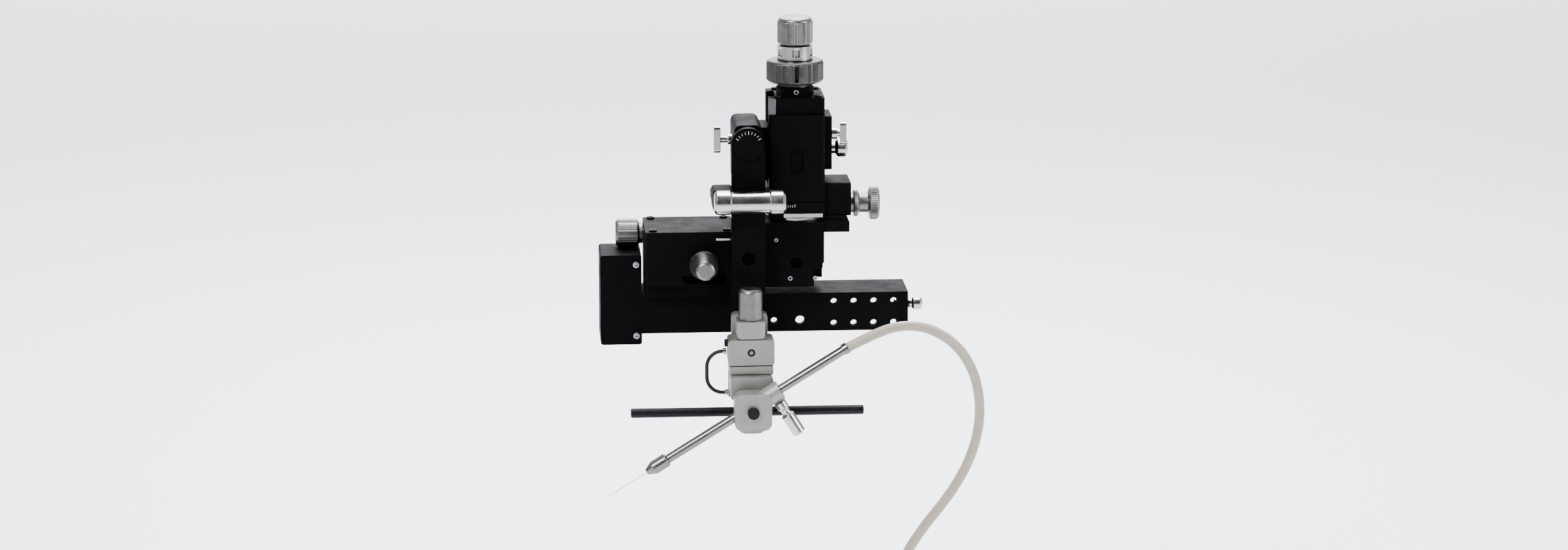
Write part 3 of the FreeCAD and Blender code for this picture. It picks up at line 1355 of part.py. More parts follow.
def make_tube():
    """The clear air tube: straight runs joined by tangent arcs, then one tied coil and a fitting."""
    slope = math.radians(number("holder_slope"))
    along = number("holder_rear + barb_length")
    start = V(number("arm_x") + along * math.cos(slope), number("holder_y"),
              number("holder_z") + along * math.sin(slope))
    route = [start] + [start + V(*turn) for turn in TUBE_TURNS]
    edges = []
    here = start
    radii = []
    for before, corner, after in zip(route, route[1:], route[2:]):
        back = before - corner
        ahead = after - corner
        run = min(back.Length, ahead.Length)
        half_turn = (math.pi - back.getAngle(ahead)) / 2
        trim = 0.45 * run
        radius = trim / math.tan(half_turn)
        radii.append(radius)
        back.normalize()
        ahead.normalize()
        enter = corner + back * trim
        leave = corner + ahead * trim
        middle = back + ahead
        middle.normalize()
        deep = radius / math.cos(half_turn) - radius
        edges.append(Part.LineSegment(here, enter).toShape())
        edges.append(Part.Arc(enter, corner + middle * deep, leave).toShape())
        here = leave
    edges.append(Part.LineSegment(here, route[-1]).toShape())
    path = Part.Wire(edges)
    first = route[1] - route[0]
    ring = Part.Wire([Part.Circle(start, first, number("tube_radius")).toShape()])
    tube = doc.addObject("Part::Feature", "tube")
    tube.Shape = path.makePipeShell([ring], True, False)
    node("air_tube", tube)
    section = math.pi * number("tube_radius") ** 2
    print("tube", round(path.Length, 1), "volume ratio",
          round(tube.Shape.Volume / (section * path.Length), 4))
    print("radii", [round(radius, 1) for radius in radii])
    return route[-1]


def make_coil(end):
    """The put-away turns as one ring, notched where the tube comes in, and the fitting on its front."""
    places.addProperty("App::PropertyFloat", "coil_x")
    places.addProperty("App::PropertyFloat", "coil_y")
    places.addProperty("App::PropertyFloat", "coil_z")
    places.coil_x = end.x - number("coil_radius + coil_thick / 4")
    places.coil_y = end.y + number("coil_lane")
    places.coil_z = end.z
    PLACES.update({name: getattr(places, name) for name in ("coil_x", "coil_y", "coil_z")})
    half = "coil_thick / 2"
    front = "coil_y - coil_depth / 2"
    back = "coil_y + coil_depth / 2"
    ring = cut(rod("Y", ("coil_x", "coil_z"), f"coil_radius + {half}", (front, back)),
               rod("Y", ("coil_x", "coil_z"), f"coil_radius - {half}",
                   (f"{front} - 1", f"{back} + 1")))
    lane = "coil_y - coil_lane + tube_radius + 0.4"
    way_in = box(("coil_x + coil_radius + coil_thick / 4 - tube_radius - 0.4",
                  "coil_x + coil_radius + 20"),
                 (f"{front} - 1", lane), ("coil_z", "coil_z + coil_radius"))
    node("tube_coil", cut(ring, way_in))
    spot = ("coil_x - coil_radius + coil_thick / 4", f"{front} - seat_gap - fitting_radius")
    fitting = turned("Z", spot, "coil_z", [
        ("0", "0"), ("0", "fitting_radius - 0.6"), ("4", "fitting_radius - 0.6"),
        ("4", "fitting_radius"), ("9", "fitting_radius"), ("9", "fitting_radius - 0.8"),
        ("fitting_length", "fitting_radius - 1.1"), ("fitting_length", "0"),
    ])
    node("tube_fitting", fitting)


make_block()
make_beam()
make_end_screw()
make_y_base()
make_housing()
make_cover()
make_y_knob()
make_x_knob()
make_carriage()
make_x_nut()
make_turret()
make_spool()
make_cross_plate()
make_lever()
make_column()
make_locks()
make_head()
make_collar()
make_fine_knob()
make_slider()
make_bracket()
make_tilt_lock()
make_arm()
make_backplate(("arm_x - 4.5", "arm_x + 4.5"))
make_fine_z()
make_yoke()
make_tool_block()
make_rod()
make_clamp()
make_wing_screw()
make_holder()
make_coil(make_tube())

# ---------------------------------------------------------------- check and write

doc.recompute()
for item in doc.Objects:
    if "Invalid" in item.State or "Error" in item.State:
        raise SystemExit(f"{item.Label} failed: {item.State}")
for solid in nodes:
    if solid.Shape.isNull() or not solid.Shape.isValid():
        raise SystemExit(f"{solid.Label} is not a valid shape")
os.makedirs("parts", exist_ok=True)
for solid in nodes:
    solid.Shape.exportStep(f"parts/{solid.Label}.step")
print(len(nodes), "sub-parts")
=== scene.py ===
"""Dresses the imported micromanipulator: finishes, broken edges, knurls, scales, tube and stage."""

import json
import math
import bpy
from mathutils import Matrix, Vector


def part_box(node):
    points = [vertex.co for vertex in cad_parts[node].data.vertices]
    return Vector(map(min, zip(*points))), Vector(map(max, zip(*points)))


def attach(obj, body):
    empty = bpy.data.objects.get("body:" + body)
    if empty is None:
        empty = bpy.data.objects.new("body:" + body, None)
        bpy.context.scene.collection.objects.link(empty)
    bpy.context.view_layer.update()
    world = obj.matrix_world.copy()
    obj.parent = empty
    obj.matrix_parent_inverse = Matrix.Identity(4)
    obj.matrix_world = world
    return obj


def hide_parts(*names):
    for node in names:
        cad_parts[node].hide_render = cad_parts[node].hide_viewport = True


bl_info = {
    "name": "Micromanipulator Finish",
    "version": (1, 0, 0),
    "blender": (4, 5, 0),
    "location": "View3D > Sidebar > Manipulator",
    "description": "Dresses a bracket-mounted micromanipulator with machined detail and finishes",
    "category": "Object",
}

import bmesh
import bpy
from mathutils import Vector

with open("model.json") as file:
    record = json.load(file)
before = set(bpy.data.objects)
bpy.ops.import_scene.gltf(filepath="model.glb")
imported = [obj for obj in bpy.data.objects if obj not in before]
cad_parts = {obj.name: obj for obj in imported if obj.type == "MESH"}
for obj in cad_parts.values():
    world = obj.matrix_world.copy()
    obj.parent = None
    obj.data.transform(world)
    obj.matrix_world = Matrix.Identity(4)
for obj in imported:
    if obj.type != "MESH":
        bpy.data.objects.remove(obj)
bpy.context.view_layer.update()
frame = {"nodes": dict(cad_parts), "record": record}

MM = 0.001
WELD = 0.002 * MM      # points of a solid nearer than this are one point
FRONT, LEFT, RIGHT, UP = (0, -1, 0), (-1, 0, 0), (1, 0, 0), (0, 0, 1)


# ---------------------------------------------------------------- settings

class ManipulatorSizes(bpy.types.PropertyGroup):
    edge_break: bpy.props.FloatProperty(
        name="Edge break", description="Width of the broken edge on a milled block",
        default=0.35 * MM, unit="LENGTH")
    cast_edge: bpy.props.FloatProperty(
        name="Soft edge", description="Width of the rounded edge on the pale drive unit",
        default=0.6 * MM, unit="LENGTH")
    knurl_depth: bpy.props.FloatProperty(
        name="Knurl depth", description="Depth of the straight knurl on a knob",
        default=0.28 * MM, unit="LENGTH")
    knurl_pitch: bpy.props.FloatProperty(
        name="Knurl pitch", description="Distance from ridge to ridge round a knob",
        default=0.9 * MM, unit="LENGTH")
    tube_width: bpy.props.FloatProperty(
        name="Tube width", description="Outside diameter of the air tube",
        default=4.4 * MM, unit="LENGTH")
    coil_turns: bpy.props.FloatProperty(
        name="Coil turns", description="Turns of tube in the put-away coil", default=5.5)


class ManipulatorFinishes(bpy.types.PropertyGroup):
    black: bpy.props.StringProperty(
        name="Black anodised", description="Colour of the stages and the beam", default="#060607")
    silver: bpy.props.StringProperty(
        name="Clear anodised", description="Colour of the knobs", default="#6f6d6a")
    # the collar's colour is the knobs' metal made darker: painted shade
    collar: bpy.props.StringProperty(
        name="Collar painted shade", description="Colour of the big collar", default="#4b4a48")
    pale: bpy.props.StringProperty(
        name="Pale unit", description="Colour of the fine drive unit", default="#85837f")
    tube: bpy.props.StringProperty(
        name="Air tube", description="Colour of the silicone tube", default="#a59b90")
    backdrop: bpy.props.StringProperty(
        name="Backdrop", description="Colour of the floor and backdrop", default="#eef3f8")


class ManipulatorStage(bpy.types.PropertyGroup):
    azimuth: bpy.props.FloatProperty(
        name="Azimuth", description="Turn of the camera round the object", default=-4.0)
    elevation: bpy.props.FloatProperty(
        name="Elevation", description="Height of the camera over the horizon", default=12.5)
    distance: bpy.props.FloatProperty(
        name="Distance", description="Distance of the camera", default=2.0, unit="LENGTH")
    room_light: bpy.props.FloatProperty(
        name="Room light", description="Strength of the light from the room's bright side",
        default=1.0)
    frame_height: bpy.props.FloatProperty(
        name="Frame height", description="Height that the picture takes in at the object",
        default=0.246, unit="LENGTH")


def sizes():
    return bpy.context.scene.manipulator_sizes


def finishes():
    return bpy.context.scene.manipulator_finishes


# ---------------------------------------------------------------- materials

def tone(code):
    """A linear colour with full alpha from an sRGB hex code."""
    parts = [int(code[i:i + 2], 16) / 255 for i in (1, 3, 5)]
    return [c / 12.92 if c <= 0.04045 else ((c + 0.055) / 1.055) ** 2.4 for c in parts] + [1.0]


def add(tree, kind, inputs=None, **settings):
    """Adds a node; each input is a plain value or the output socket of another node."""
    node = tree.nodes.new(kind)
    for name, value in settings.items():
        setattr(node, name, value)
    for name, value in (inputs or {}).items():
        if isinstance(value, bpy.types.NodeSocket):
            tree.links.new(value, node.inputs[name])
        else:
            node.inputs[name].default_value = value
    return node


def surface(name, patch, colours, roughness, shader=None, detail=2.0, streaks=None, grit=None,
            lift=None):
    """A material whose colour and gloss drift between two values with a soft noise.

    patch is the size in metres of the noise's features, and streaks is the turn and the stretch
    that draw them out. lift is the strength and depth of a bump from that noise, or from a finer
    one whose features are of the size grit. shader holds the other sockets' values.
    """
    if name in bpy.data.materials:
        return bpy.data.materials[name]
    material = bpy.data.materials.new(name)
    material.use_nodes = True
    tree = material.node_tree
    tree.nodes.clear()
    place = add(tree, "ShaderNodeTexCoord").outputs["Object"]
    if streaks:
        turn, stretch = streaks
        place = add(tree, "ShaderNodeMapping", {
            "Vector": place, "Rotation": turn, "Scale": stretch}).outputs["Vector"]
    cloud = add(tree, "ShaderNodeTexNoise", {
        "Vector": place, "Scale": 1 / patch, "Detail": detail}).outputs["Fac"]
    low, high = colours
    sockets = dict(shader or {})
    sockets["Base Color"] = add(tree, "ShaderNodeMix", {
        "Factor": cloud, "A": tone(low), "B": tone(high)}, data_type="RGBA").outputs["Result"]
    sockets["Roughness"] = roughness
    if isinstance(roughness, tuple):
        # a noise keeps mostly between these two levels
        sockets["Roughness"] = add(tree, "ShaderNodeMapRange", {
            "Value": cloud, "From Min": 0.3, "From Max": 0.7,
            "To Min": roughness[0], "To Max": roughness[1]}).outputs["Result"]
    if lift:
        strength, depth = lift
        height = cloud
        if grit:
            height = add(tree, "ShaderNodeTexNoise", {
                "Vector": place, "Scale": 1 / grit, "Detail": 1.0}).outputs["Fac"]
        sockets["Normal"] = add(tree, "ShaderNodeBump", {
            "Height": height, "Strength": strength, "Distance": depth}).outputs["Normal"]
    body = add(tree, "ShaderNodeBsdfPrincipled", sockets)
    add(tree, "ShaderNodeOutputMaterial", {"Surface": body.outputs["BSDF"]})
    return material


def black_anodised():
    """Bead-blasted aluminium under a black anodic film: dark, even, with a soft wide gloss."""
    # blasting grit is 0.1 mm: drawn at 0.3 mm so that it shows, here and on the other films
    return surface("bead_blasted_black_anodised_aluminium", 7 * MM,
                   (finishes().black, "#0e0f11"), (0.52, 0.64), {"Specular IOR Level": 0.07},
                   grit=0.3 * MM, lift=(0.25, 0.02 * MM))


def clear_anodised():
    """Turned aluminium under a clear film: pale grey metal with a soft gloss and a fine grain."""
    return surface("clear_anodised_turned_aluminium", 3 * MM, (finishes().silver, "#8a8885"),
                   (0.34, 0.46), {"Metallic": 1.0}, grit=0.25 * MM, lift=(0.15, 0.01 * MM))


def clear_anodised_painted_shade():
    """The knobs' metal on the big collar, made a shade darker than the knobs to stand for the shade
    on it: painted shade, with the same grain.
    """
    return surface("clear_anodised_aluminium_painted_shade", 3 * MM, (finishes().collar, "#676563"),
                   (0.34, 0.46), {"Metallic": 1.0}, grit=0.25 * MM, lift=(0.15, 0.01 * MM))


def nickel_plated():
    """Polished nickel on brass or steel: bright and faintly warm, with faint wipe marks."""
    return surface("polished_nickel_plate", 5 * MM, ("#a9a6a0", "#c2bfb9"), (0.16, 0.28),
                   {"Metallic": 1.0}, detail=4.0)


def ground_steel():
    """Stainless steel ground along its length: streaks a few millimetres long on the bar."""
    # the turn lays the streaks along the holder
    return surface("centreless_ground_stainless_steel", 0.35 * MM, ("#706f6d", "#868582"),
                   (0.22, 0.36), {"Metallic": 1.0},
                   streaks=((0.0, math.radians(31.8), 0.0), (0.08, 1.0, 1.0)),
                   lift=(0.04, 0.01 * MM))


def bright_screw_steel():
    """Turned carbon steel with a clear zinc plate: grey, slightly blue, not polished."""
    return surface("zinc_plated_steel", 1.2 * MM, ("#8f9194", "#adafb1"), (0.28, 0.42),
                   {"Metallic": 1.0})


def black_oxide_steel():
    """Screw steel under black oxide: near black with a dull metal sheen."""
    return surface("black_oxide_steel", 1.5 * MM, ("#17171a", "#2b2a2b"), (0.34, 0.5),
                   {"Metallic": 0.7})


def nut_brass():
    """Free-cutting brass as turned, dulled a little where it has aged."""
    return surface("turned_brass", 2.5 * MM, ("#b08a45", "#cda861"), (0.24, 0.38),
                   {"Metallic": 1.0})


def satin_nickel():
    """Matt-plated blocks of the fine drive: pale, softly shining, with a fine blasted grain."""
    return surface("matt_chromed_aluminium", 6 * MM, (finishes().pale, "#979591"), (0.36, 0.5),
                   {"Metallic": 0.55}, grit=0.35 * MM, lift=(0.2, 0.015 * MM))


def silicone():
    """Milky silicone tube: light goes a little way in, and the skin has a soft gloss."""
    return surface("translucent_silicone", 9 * MM, (finishes().tube, "#b7aea3"), (0.34, 0.46), {
        "IOR": 1.41,
        "Transmission Weight": 0.25,
        "Subsurface Weight": 0.35,
        "Subsurface Radius": (3 * MM, 2.6 * MM, 2.2 * MM),
        "Subsurface Scale": 0.6,
    })


def black_rubber():
    """Extruded nitrile rubber line: black, matt, with a slight bloom."""
    return surface("nitrile_rubber", 2 * MM, ("#121212", "#1e1e1f"), (0.5, 0.65))


def moulded_white():
    """Moulded polypropylene fitting: slightly warm white with a soft gloss."""
    return surface("moulded_polypropylene", 2 * MM, ("#e4e2dc", "#efede8"), (0.3, 0.4))


def borosilicate():
    """Pulled borosilicate glass: clear and colourless."""
    return surface("borosilicate_glass", 2 * MM, ("#eef4f5", "#ffffff"), (0.02, 0.05),
                   {"IOR": 1.47, "Transmission Weight": 0.9})


def engraved_white():
    """Paint wiped into engraved lines: matt white, a little uneven."""
    return surface("engraving_paint", 0.8 * MM, ("#cfcfcb", "#e9e9e6"), (0.5, 0.7))


def slit_painted_shade():
    """A black plate at the floor of a slit in a bright part, standing in for the shade inside the
    slit: painted shade.
    """
    return surface("slit_painted_shade_black", 0.8 * MM, ("#161616", "#262626"), (0.5, 0.7))


def backdrop_paper():
    """Seamless background paper: matt, very pale, with the faintest fibre."""
    return surface("backdrop_paper", 4 * MM, (finishes().backdrop, "#f3f6fa"), 0.9, detail=4.0)


# ---------------------------------------------------------------- modelling by hand

def deselect():
    if bpy.context.object and bpy.context.object.mode != "OBJECT":
        bpy.ops.object.mode_set(mode="OBJECT")
    bpy.ops.object.select_all(action="DESELECT")


def pick(piece):
    """Makes one piece the only selected and the active one."""
    deselect()
    piece.select_set(True)
    bpy.context.view_layer.objects.active = piece


def settle(piece, name, angle=30.0):
    """Names a modelled piece, puts its place into its mesh and smooths its round faces."""
    pick(piece)
    piece.name = name
    piece.data.name = name
    bpy.ops.object.transform_apply(location=True, rotation=True, scale=True)
    bpy.ops.object.mode_set(mode="EDIT")
    bpy.ops.mesh.select_all(action="SELECT")
    bpy.ops.mesh.normals_make_consistent(inside=False)
    bpy.ops.object.mode_set(mode="OBJECT")
    bpy.ops.object.shade_smooth_by_angle(angle=math.radians(angle))
    return piece


def dress(piece, material, body, *nodes):
    """Gives a piece its finish and its body, and lets it stand for CAD nodes."""
    piece.data.materials.clear()
    piece.data.materials.append(material)
    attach(piece, body)
    if nodes:
        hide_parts(*nodes)
    return piece


def body_of(node):
    """The moving body that a solid belongs to."""
    for name, members in frame["record"]["behaviour"]["bodies"].items():
        if node in members:
            return name
    raise ValueError(f"{node} is in no body")


def bevel(piece, width, segments=2):
    """Breaks the edges that turn by more than 35 degrees."""
    pick(piece)
    bpy.ops.object.modifier_add(type="BEVEL")
    change = piece.modifiers[-1]
    change.width = width
    change.segments = segments
    change.limit_method = "ANGLE"
    change.angle_limit = math.radians(35)
    change.use_clamp_overlap = True
    bpy.ops.object.modifier_apply(modifier=change.name)


def even_shading(piece):
    """Keeps flat faces flat: only the broken edges carry the change of normal."""
    pick(piece)
    bpy.ops.object.shade_smooth_by_angle(angle=math.radians(30))
    bpy.ops.object.modifier_add(type="WEIGHTED_NORMAL")
    change = piece.modifiers[-1]
    change.keep_sharp = True
    change.weight = 100
    bpy.ops.object.modifier_apply(modifier=change.name)


def machined(node, width, material):
    """A copy of a solid with its edges broken, as a file leaves them."""
    source = frame["nodes"][node]
    piece = bpy.data.objects.new(f"{node}_finished", source.data.copy())
    bpy.context.scene.collection.objects.link(piece)
    pick(piece)
    bpy.ops.object.mode_set(mode="EDIT")
    bpy.ops.mesh.select_all(action="SELECT")
    bpy.ops.mesh.remove_doubles(threshold=WELD)
    # flat faces lose their triangles, so that a bevel runs along real edges only
    bpy.ops.mesh.dissolve_limited(angle_limit=math.radians(0.5))
    bpy.ops.object.mode_set(mode="OBJECT")
    if width:
        bevel(piece, width)
    even_shading(piece)
    return dress(piece, material, body_of(node), node)


def placed(piece, centre, axis):
    """Turns a piece that was made along Z to an axis and moves it to its centre."""
    piece.rotation_mode = "QUATERNION"
    piece.rotation_quaternion = Vector(axis).to_track_quat("Z", "Y")
    piece.location = centre


def knurled(name, node, radius, low, high, centre, axis, material):
    """A straight knurl round a knob: a strip raised ring by ring, with every second line sunk."""
    depth = sizes().knurl_depth
    root = 0.02 * MM       # the sunk lines stay this far above the knob's own face
    sides = 2 * max(12, round(2 * math.pi * radius / sizes().knurl_pitch))
    rings = ((low, radius), (low + depth, radius + depth), (high - depth, radius + depth),
             (high, radius))
    deselect()
    bpy.ops.mesh.primitive_circle_add(vertices=sides, radius=radius, location=(0, 0, low))
    piece = bpy.context.object
    bpy.ops.object.transform_apply(location=True, rotation=False, scale=False)
    bpy.ops.object.mode_set(mode="EDIT")
    bpy.ops.mesh.select_all(action="SELECT")
    for (height, wide), (up, next_wide) in zip(rings, rings[1:]):
        bpy.ops.mesh.extrude_region_move(
            TRANSFORM_OT_translate={"value": (0, 0, up - height), "orient_type": "GLOBAL"})
        bpy.ops.transform.resize(value=(next_wide / wide, next_wide / wide, 1),
                                 center_override=(0, 0, up))
    shape = bmesh.from_edit_mesh(piece.data)
    for vertex in shape.verts:
        line = round(math.atan2(vertex.co.y, vertex.co.x) / (2 * math.pi) * sides)
        if line % 2 and vertex.co.to_2d().length > radius + depth / 2:
            vertex.co.xy *= (radius + root) / (radius + depth)
    bmesh.update_edit_mesh(piece.data)
    bpy.ops.object.mode_set(mode="OBJECT")
    placed(piece, centre, axis)
    settle(piece, name, 20.0)
    return dress(piece, material, body_of(node))


def cut_away(piece, tool):
    """Takes the tool's shape out of a piece, and the tool away."""
    pick(piece)
    bpy.ops.object.modifier_add(type="BOOLEAN")
    change = piece.modifiers[-1]
    change.operation = "DIFFERENCE"
    change.solver = "EXACT"
    change.object = tool
    bpy.ops.object.modifier_apply(modifier=change.name)
    bpy.data.objects.remove(tool)


def block(name, low, high, material, body, edge=0.08 * MM):
    """A small plate or bar between two corners, with its edges broken."""
    deselect()
    low, high = Vector(low), Vector(high)
    bpy.ops.mesh.primitive_cube_add(size=1, location=(low + high) / 2)
    piece = bpy.context.object
    piece.scale = high - low
    settle(piece, name)
    bevel(piece, edge)
    return dress(piece, material, body)


def hexagon_tool(centre, out, radius):
    """The hexagon that is sunk into a head: 0.56 of its radius, and 0.7 of it deep."""
    deselect()
    bpy.ops.mesh.primitive_cylinder_add(vertices=6, radius=radius * 0.56, depth=radius * 1.4)
    tool = bpy.context.object
    placed(tool, centre, out)
    bpy.ops.object.transform_apply(location=True, rotation=True, scale=True)
    return tool


def face_screw(name, centre, out, radius, proud, deep, material, body):
    """A socket screw seated in a face, with its head standing a little proud."""
    out = Vector(out)
    deselect()
    bpy.ops.mesh.primitive_cylinder_add(vertices=32, radius=radius, depth=proud + deep)
    piece = bpy.context.object
    placed(piece, Vector(centre) + out * (proud - deep) / 2, out)
    settle(piece, name)
    bevel(piece, radius * 0.12)
    cut_away(piece, hexagon_tool(Vector(centre) + out * proud, out, radius))
    settle(piece, name)
    return dress(piece, material, body)


def engraved(name, node, lines):
    """Painted lines as thin inlays in a front face: each has a middle, turn, width and length."""
    thick = 0.06 * MM
    pieces = []
    for middle, turn, width, length in lines:
        deselect()
        bpy.ops.mesh.primitive_cube_add(size=1, location=middle, rotation=(0, turn, 0))
        line = bpy.context.object
        line.scale = (width, thick, length)
        pieces.append(line)
    return dress(settle(joined(pieces), name), engraved_white(), body_of(node))


def loose_parts(piece):
    """The vertex groups of a mesh that hang together, as lists of points."""
    shape = bmesh.new()
    shape.from_mesh(piece.data)
    bmesh.ops.remove_doubles(shape, verts=shape.verts, dist=WELD)
    seen = set()
    found = []
    for first in shape.verts:
        if first in seen:
            continue
        seen.add(first)
        stack = [first]
        part = []
        while stack:
            vertex = stack.pop()
            part.append(vertex.co.copy())
            for edge in vertex.link_edges:
                other = edge.other_vert(vertex)
                if other not in seen:
                    seen.add(other)
                    stack.append(other)
        found.append(part)
    shape.free()
    return found


def screw_faces(piece):
    """For each screw of a node: the middle of its head's face, the way out, the head's radius."""
    for part in loose_parts(piece):
        low = Vector([min(point[i] for point in part) for i in range(3)])
        high = Vector([max(point[i] for point in part) for i in range(3)])
        axis = max(range(3), key=lambda i: high[i] - low[i])
        ends = []
        for sign, level in ((1, high[axis]), (-1, low[axis])):
            centre = (low + high) / 2
            centre[axis] = level
            rim = [point for point in part if abs(point[axis] - level) < 0.01 * MM]
            ends.append((max((point - centre).length for point in rim), sign, centre))
        # the head is the wider end
        reach, sign, centre = max(ends, key=lambda end: end[0])
        out = Vector((0, 0, 0))
        out[axis] = sign
        yield centre, out, reach


def socketed(node, material, width):
    """Cap screws with a hexagon socket sunk into each head."""
    piece = machined(node, width, material)
    tools = [hexagon_tool(*place) for place in screw_faces(frame["nodes"][node])]
    cut_away(piece, joined(tools))
    pick(piece)
    bpy.ops.object.shade_smooth_by_angle(angle=math.radians(30))
    return piece


def joined(pieces):
    """Several pieces as one."""
    deselect()
    for piece in pieces:
        piece.select_set(True)
    bpy.context.view_layer.objects.active = pieces[0]
    if len(pieces) > 1:
        bpy.ops.object.join()
    return bpy.context.object


# ---------------------------------------------------------------- pieces

MILLED_BLACK = (
    "mount_block", "beam", "y_base", "y_housing", "housing_cover", "x_carriage", "cross_base",
    "cross_end_block", "cross_plate", "z_column", "column_cap", "side_plate", "z_slider",
    "tilt_bracket", "tilt_arm",
)


class MANIPULATOR_OT_stages(bpy.types.Operator):
    """Breaks the edges of the black blocks, the beam and the arm"""
    bl_idname = "manipulator.stages"
    bl_label = "Black stages"

    def execute(self, context):
        for node in MILLED_BLACK:
            machined(node, sizes().edge_break, black_anodised())
        machined("neck_nut", 0.25 * MM, black_anodised())
        return {"FINISHED"}


class MANIPULATOR_OT_drive_unit(bpy.types.Operator):
    """Softens the edges of the pale fine drive unit and the tool clamp"""
    bl_idname = "manipulator.drive_unit"
    bl_label = "Fine drive unit"

    def execute(self, context):
        for node in ("fine_backplate", "fine_z_block", "fine_y_yoke", "fine_x_block",
                     "tool_clamp"):
            machined(node, sizes().cast_edge, satin_nickel())
        machined("oil_cylinder", 0.3 * MM, clear_anodised())
        machined("fine_piston", 0, bright_screw_steel())
        machined("oil_line", 0, black_rubber())
        return {"FINISHED"}


class MANIPULATOR_OT_screws(bpy.types.Operator):
    """Sinks hexagon sockets into the cap screws"""
    bl_idname = "manipulator.screws"
    bl_label = "Cap screws"

    def execute(self, context):
        socketed("frame_screws", bright_screw_steel(), 0.12 * MM)
        for node in ("cover_screws", "cap_screws", "bracket_screws", "arm_screws", "clamp_screw"):
            socketed(node, black_oxide_steel(), 0.12 * MM)
        return {"FINISHED"}


class MANIPULATOR_OT_knobs(bpy.types.Operator):
    """Breaks the edges of the bright knobs, the locks and the big collar"""
    bl_idname = "manipulator.knobs"
    bl_label = "Knobs"

    def execute(self, context):
        edge = 0.2 * MM
        for node in ("x_knob", "y_knob", "cross_knob", "fine_knob"):
            machined(node, edge, clear_anodised())
        # the collar gets the knobs' metal made darker: painted shade
        machined("coarse_collar", edge, clear_anodised_painted_shade())
        for node in ("z_spindle", "lock_lever", "z_lock_upper", "z_lock_lower", "tilt_lock",
                     "wing_screw", "end_screw", "swivel_ring"):
            machined(node, edge, nickel_plated())
        return {"FINISHED"}


def corner_of(node, *corner):
    """A point on a solid's box: 0 is the low side and 1 the high one, for X, Y and Z."""
    low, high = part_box(node)
    return Vector([low[i] + (high[i] - low[i]) * corner[i] for i in range(3)])


# each knurl: its knob, the point on the knob's box that it is measured from, its axis, the
# radius under it, where it starts and ends along the axis, in millimetres, and its finish
KNURLS = (
    ("x_knob_knurl", "x_knob", (0, 0.5, 0.5), RIGHT, 6.2, 1.1, 9.9, clear_anodised),
    ("y_knob_knurl", "y_knob", (0.5, 0, 0.5), (0, 1, 0), 6.3, 12.1, 15.1, clear_anodised),
    ("cross_knob_inner_knurl", "cross_knob", (0, 0.5, 0.5), RIGHT, 5.8, 1.6, 3.4,
     clear_anodised),
    ("cross_knob_outer_knurl", "cross_knob", (0, 0.5, 0.5), RIGHT, 7.2, 8.9, 12.3,
     clear_anodised),
    ("fine_knob_knurl", "fine_knob", (0.5, 0.5, 0), UP, 7.65, 0.8, 10.5, clear_anodised),
    # the collar's knurl has the darker copy of the knobs' metal: painted shade
    ("coarse_collar_knurl", "coarse_collar", (0.5, 0.5, 1), UP, 12.5, -9.1, -0.9,
     clear_anodised_painted_shade),
)
# the slit in the collar's front, in millimetres: half its width, how far in front of the axis
# its floor lies, and its ends under the collar's top
SLIT_HALF, SLIT_FLOOR, SLIT_ENDS = 0.9, 10.5, (-8.4, -1.6)


class MANIPULATOR_OT_knurls(bpy.types.Operator):
    """Rolls the straight knurls on the knobs and the collar, and lays a black plate of painted
    shade in the collar's slit
    """
    bl_idname = "manipulator.knurls"
    bl_label = "Knurls"

    def execute(self, context):
        for name, node, corner, axis, radius, start, stop, film in KNURLS:
            knurled(name, node, radius * MM, start * MM, stop * MM, corner_of(node, *corner),
                    axis, film())
        top = corner_of("coarse_collar", 0.5, 0.5, 1)
        half, front = SLIT_HALF * MM, top.y - SLIT_FLOOR * MM
        band = bpy.data.objects["coarse_collar_knurl"]
        pick(band)
        bpy.ops.object.mode_set(mode="EDIT")
        shape = bmesh.from_edit_mesh(band.data)
        for face in shape.faces:
            middle = face.calc_center_median()
            face.select = abs(middle.x - top.x) < half and middle.y < top.y
        bmesh.update_edit_mesh(band.data)
        bpy.ops.mesh.delete(type="FACE")
        bpy.ops.object.mode_set(mode="OBJECT")
        low, high = (top.z + end * MM for end in SLIT_ENDS)
        # a thin black plate at the slit's floor is painted shade: it stands in for the shade inside
        # the slit
        block("collar_slit_painted_shade", (top.x - half, front, low),
              (top.x + half, front + 0.1 * MM, high), slit_painted_shade(), body_of("coarse_collar"),
              0.02 * MM)
        return {"FINISHED"}


# each strip of bright metal: the piece it lies on, and its two corners from that piece's lowest
# corner, in millimetres
STRIPS = (
    ("index_strip", "y_housing", (31.5, -0.25, 20.4), (38, 0.1, 21.4), nickel_plated),
    ("cap_side_strip", "column_cap", (-0.1, -0.3, 0.2), (3.1, 0.1, 7.4), ground_steel),
    ("cross_base_strip", "cross_base", (6.5, -0.25, 0.2), (24, 0.1, 2), nickel_plated),
)
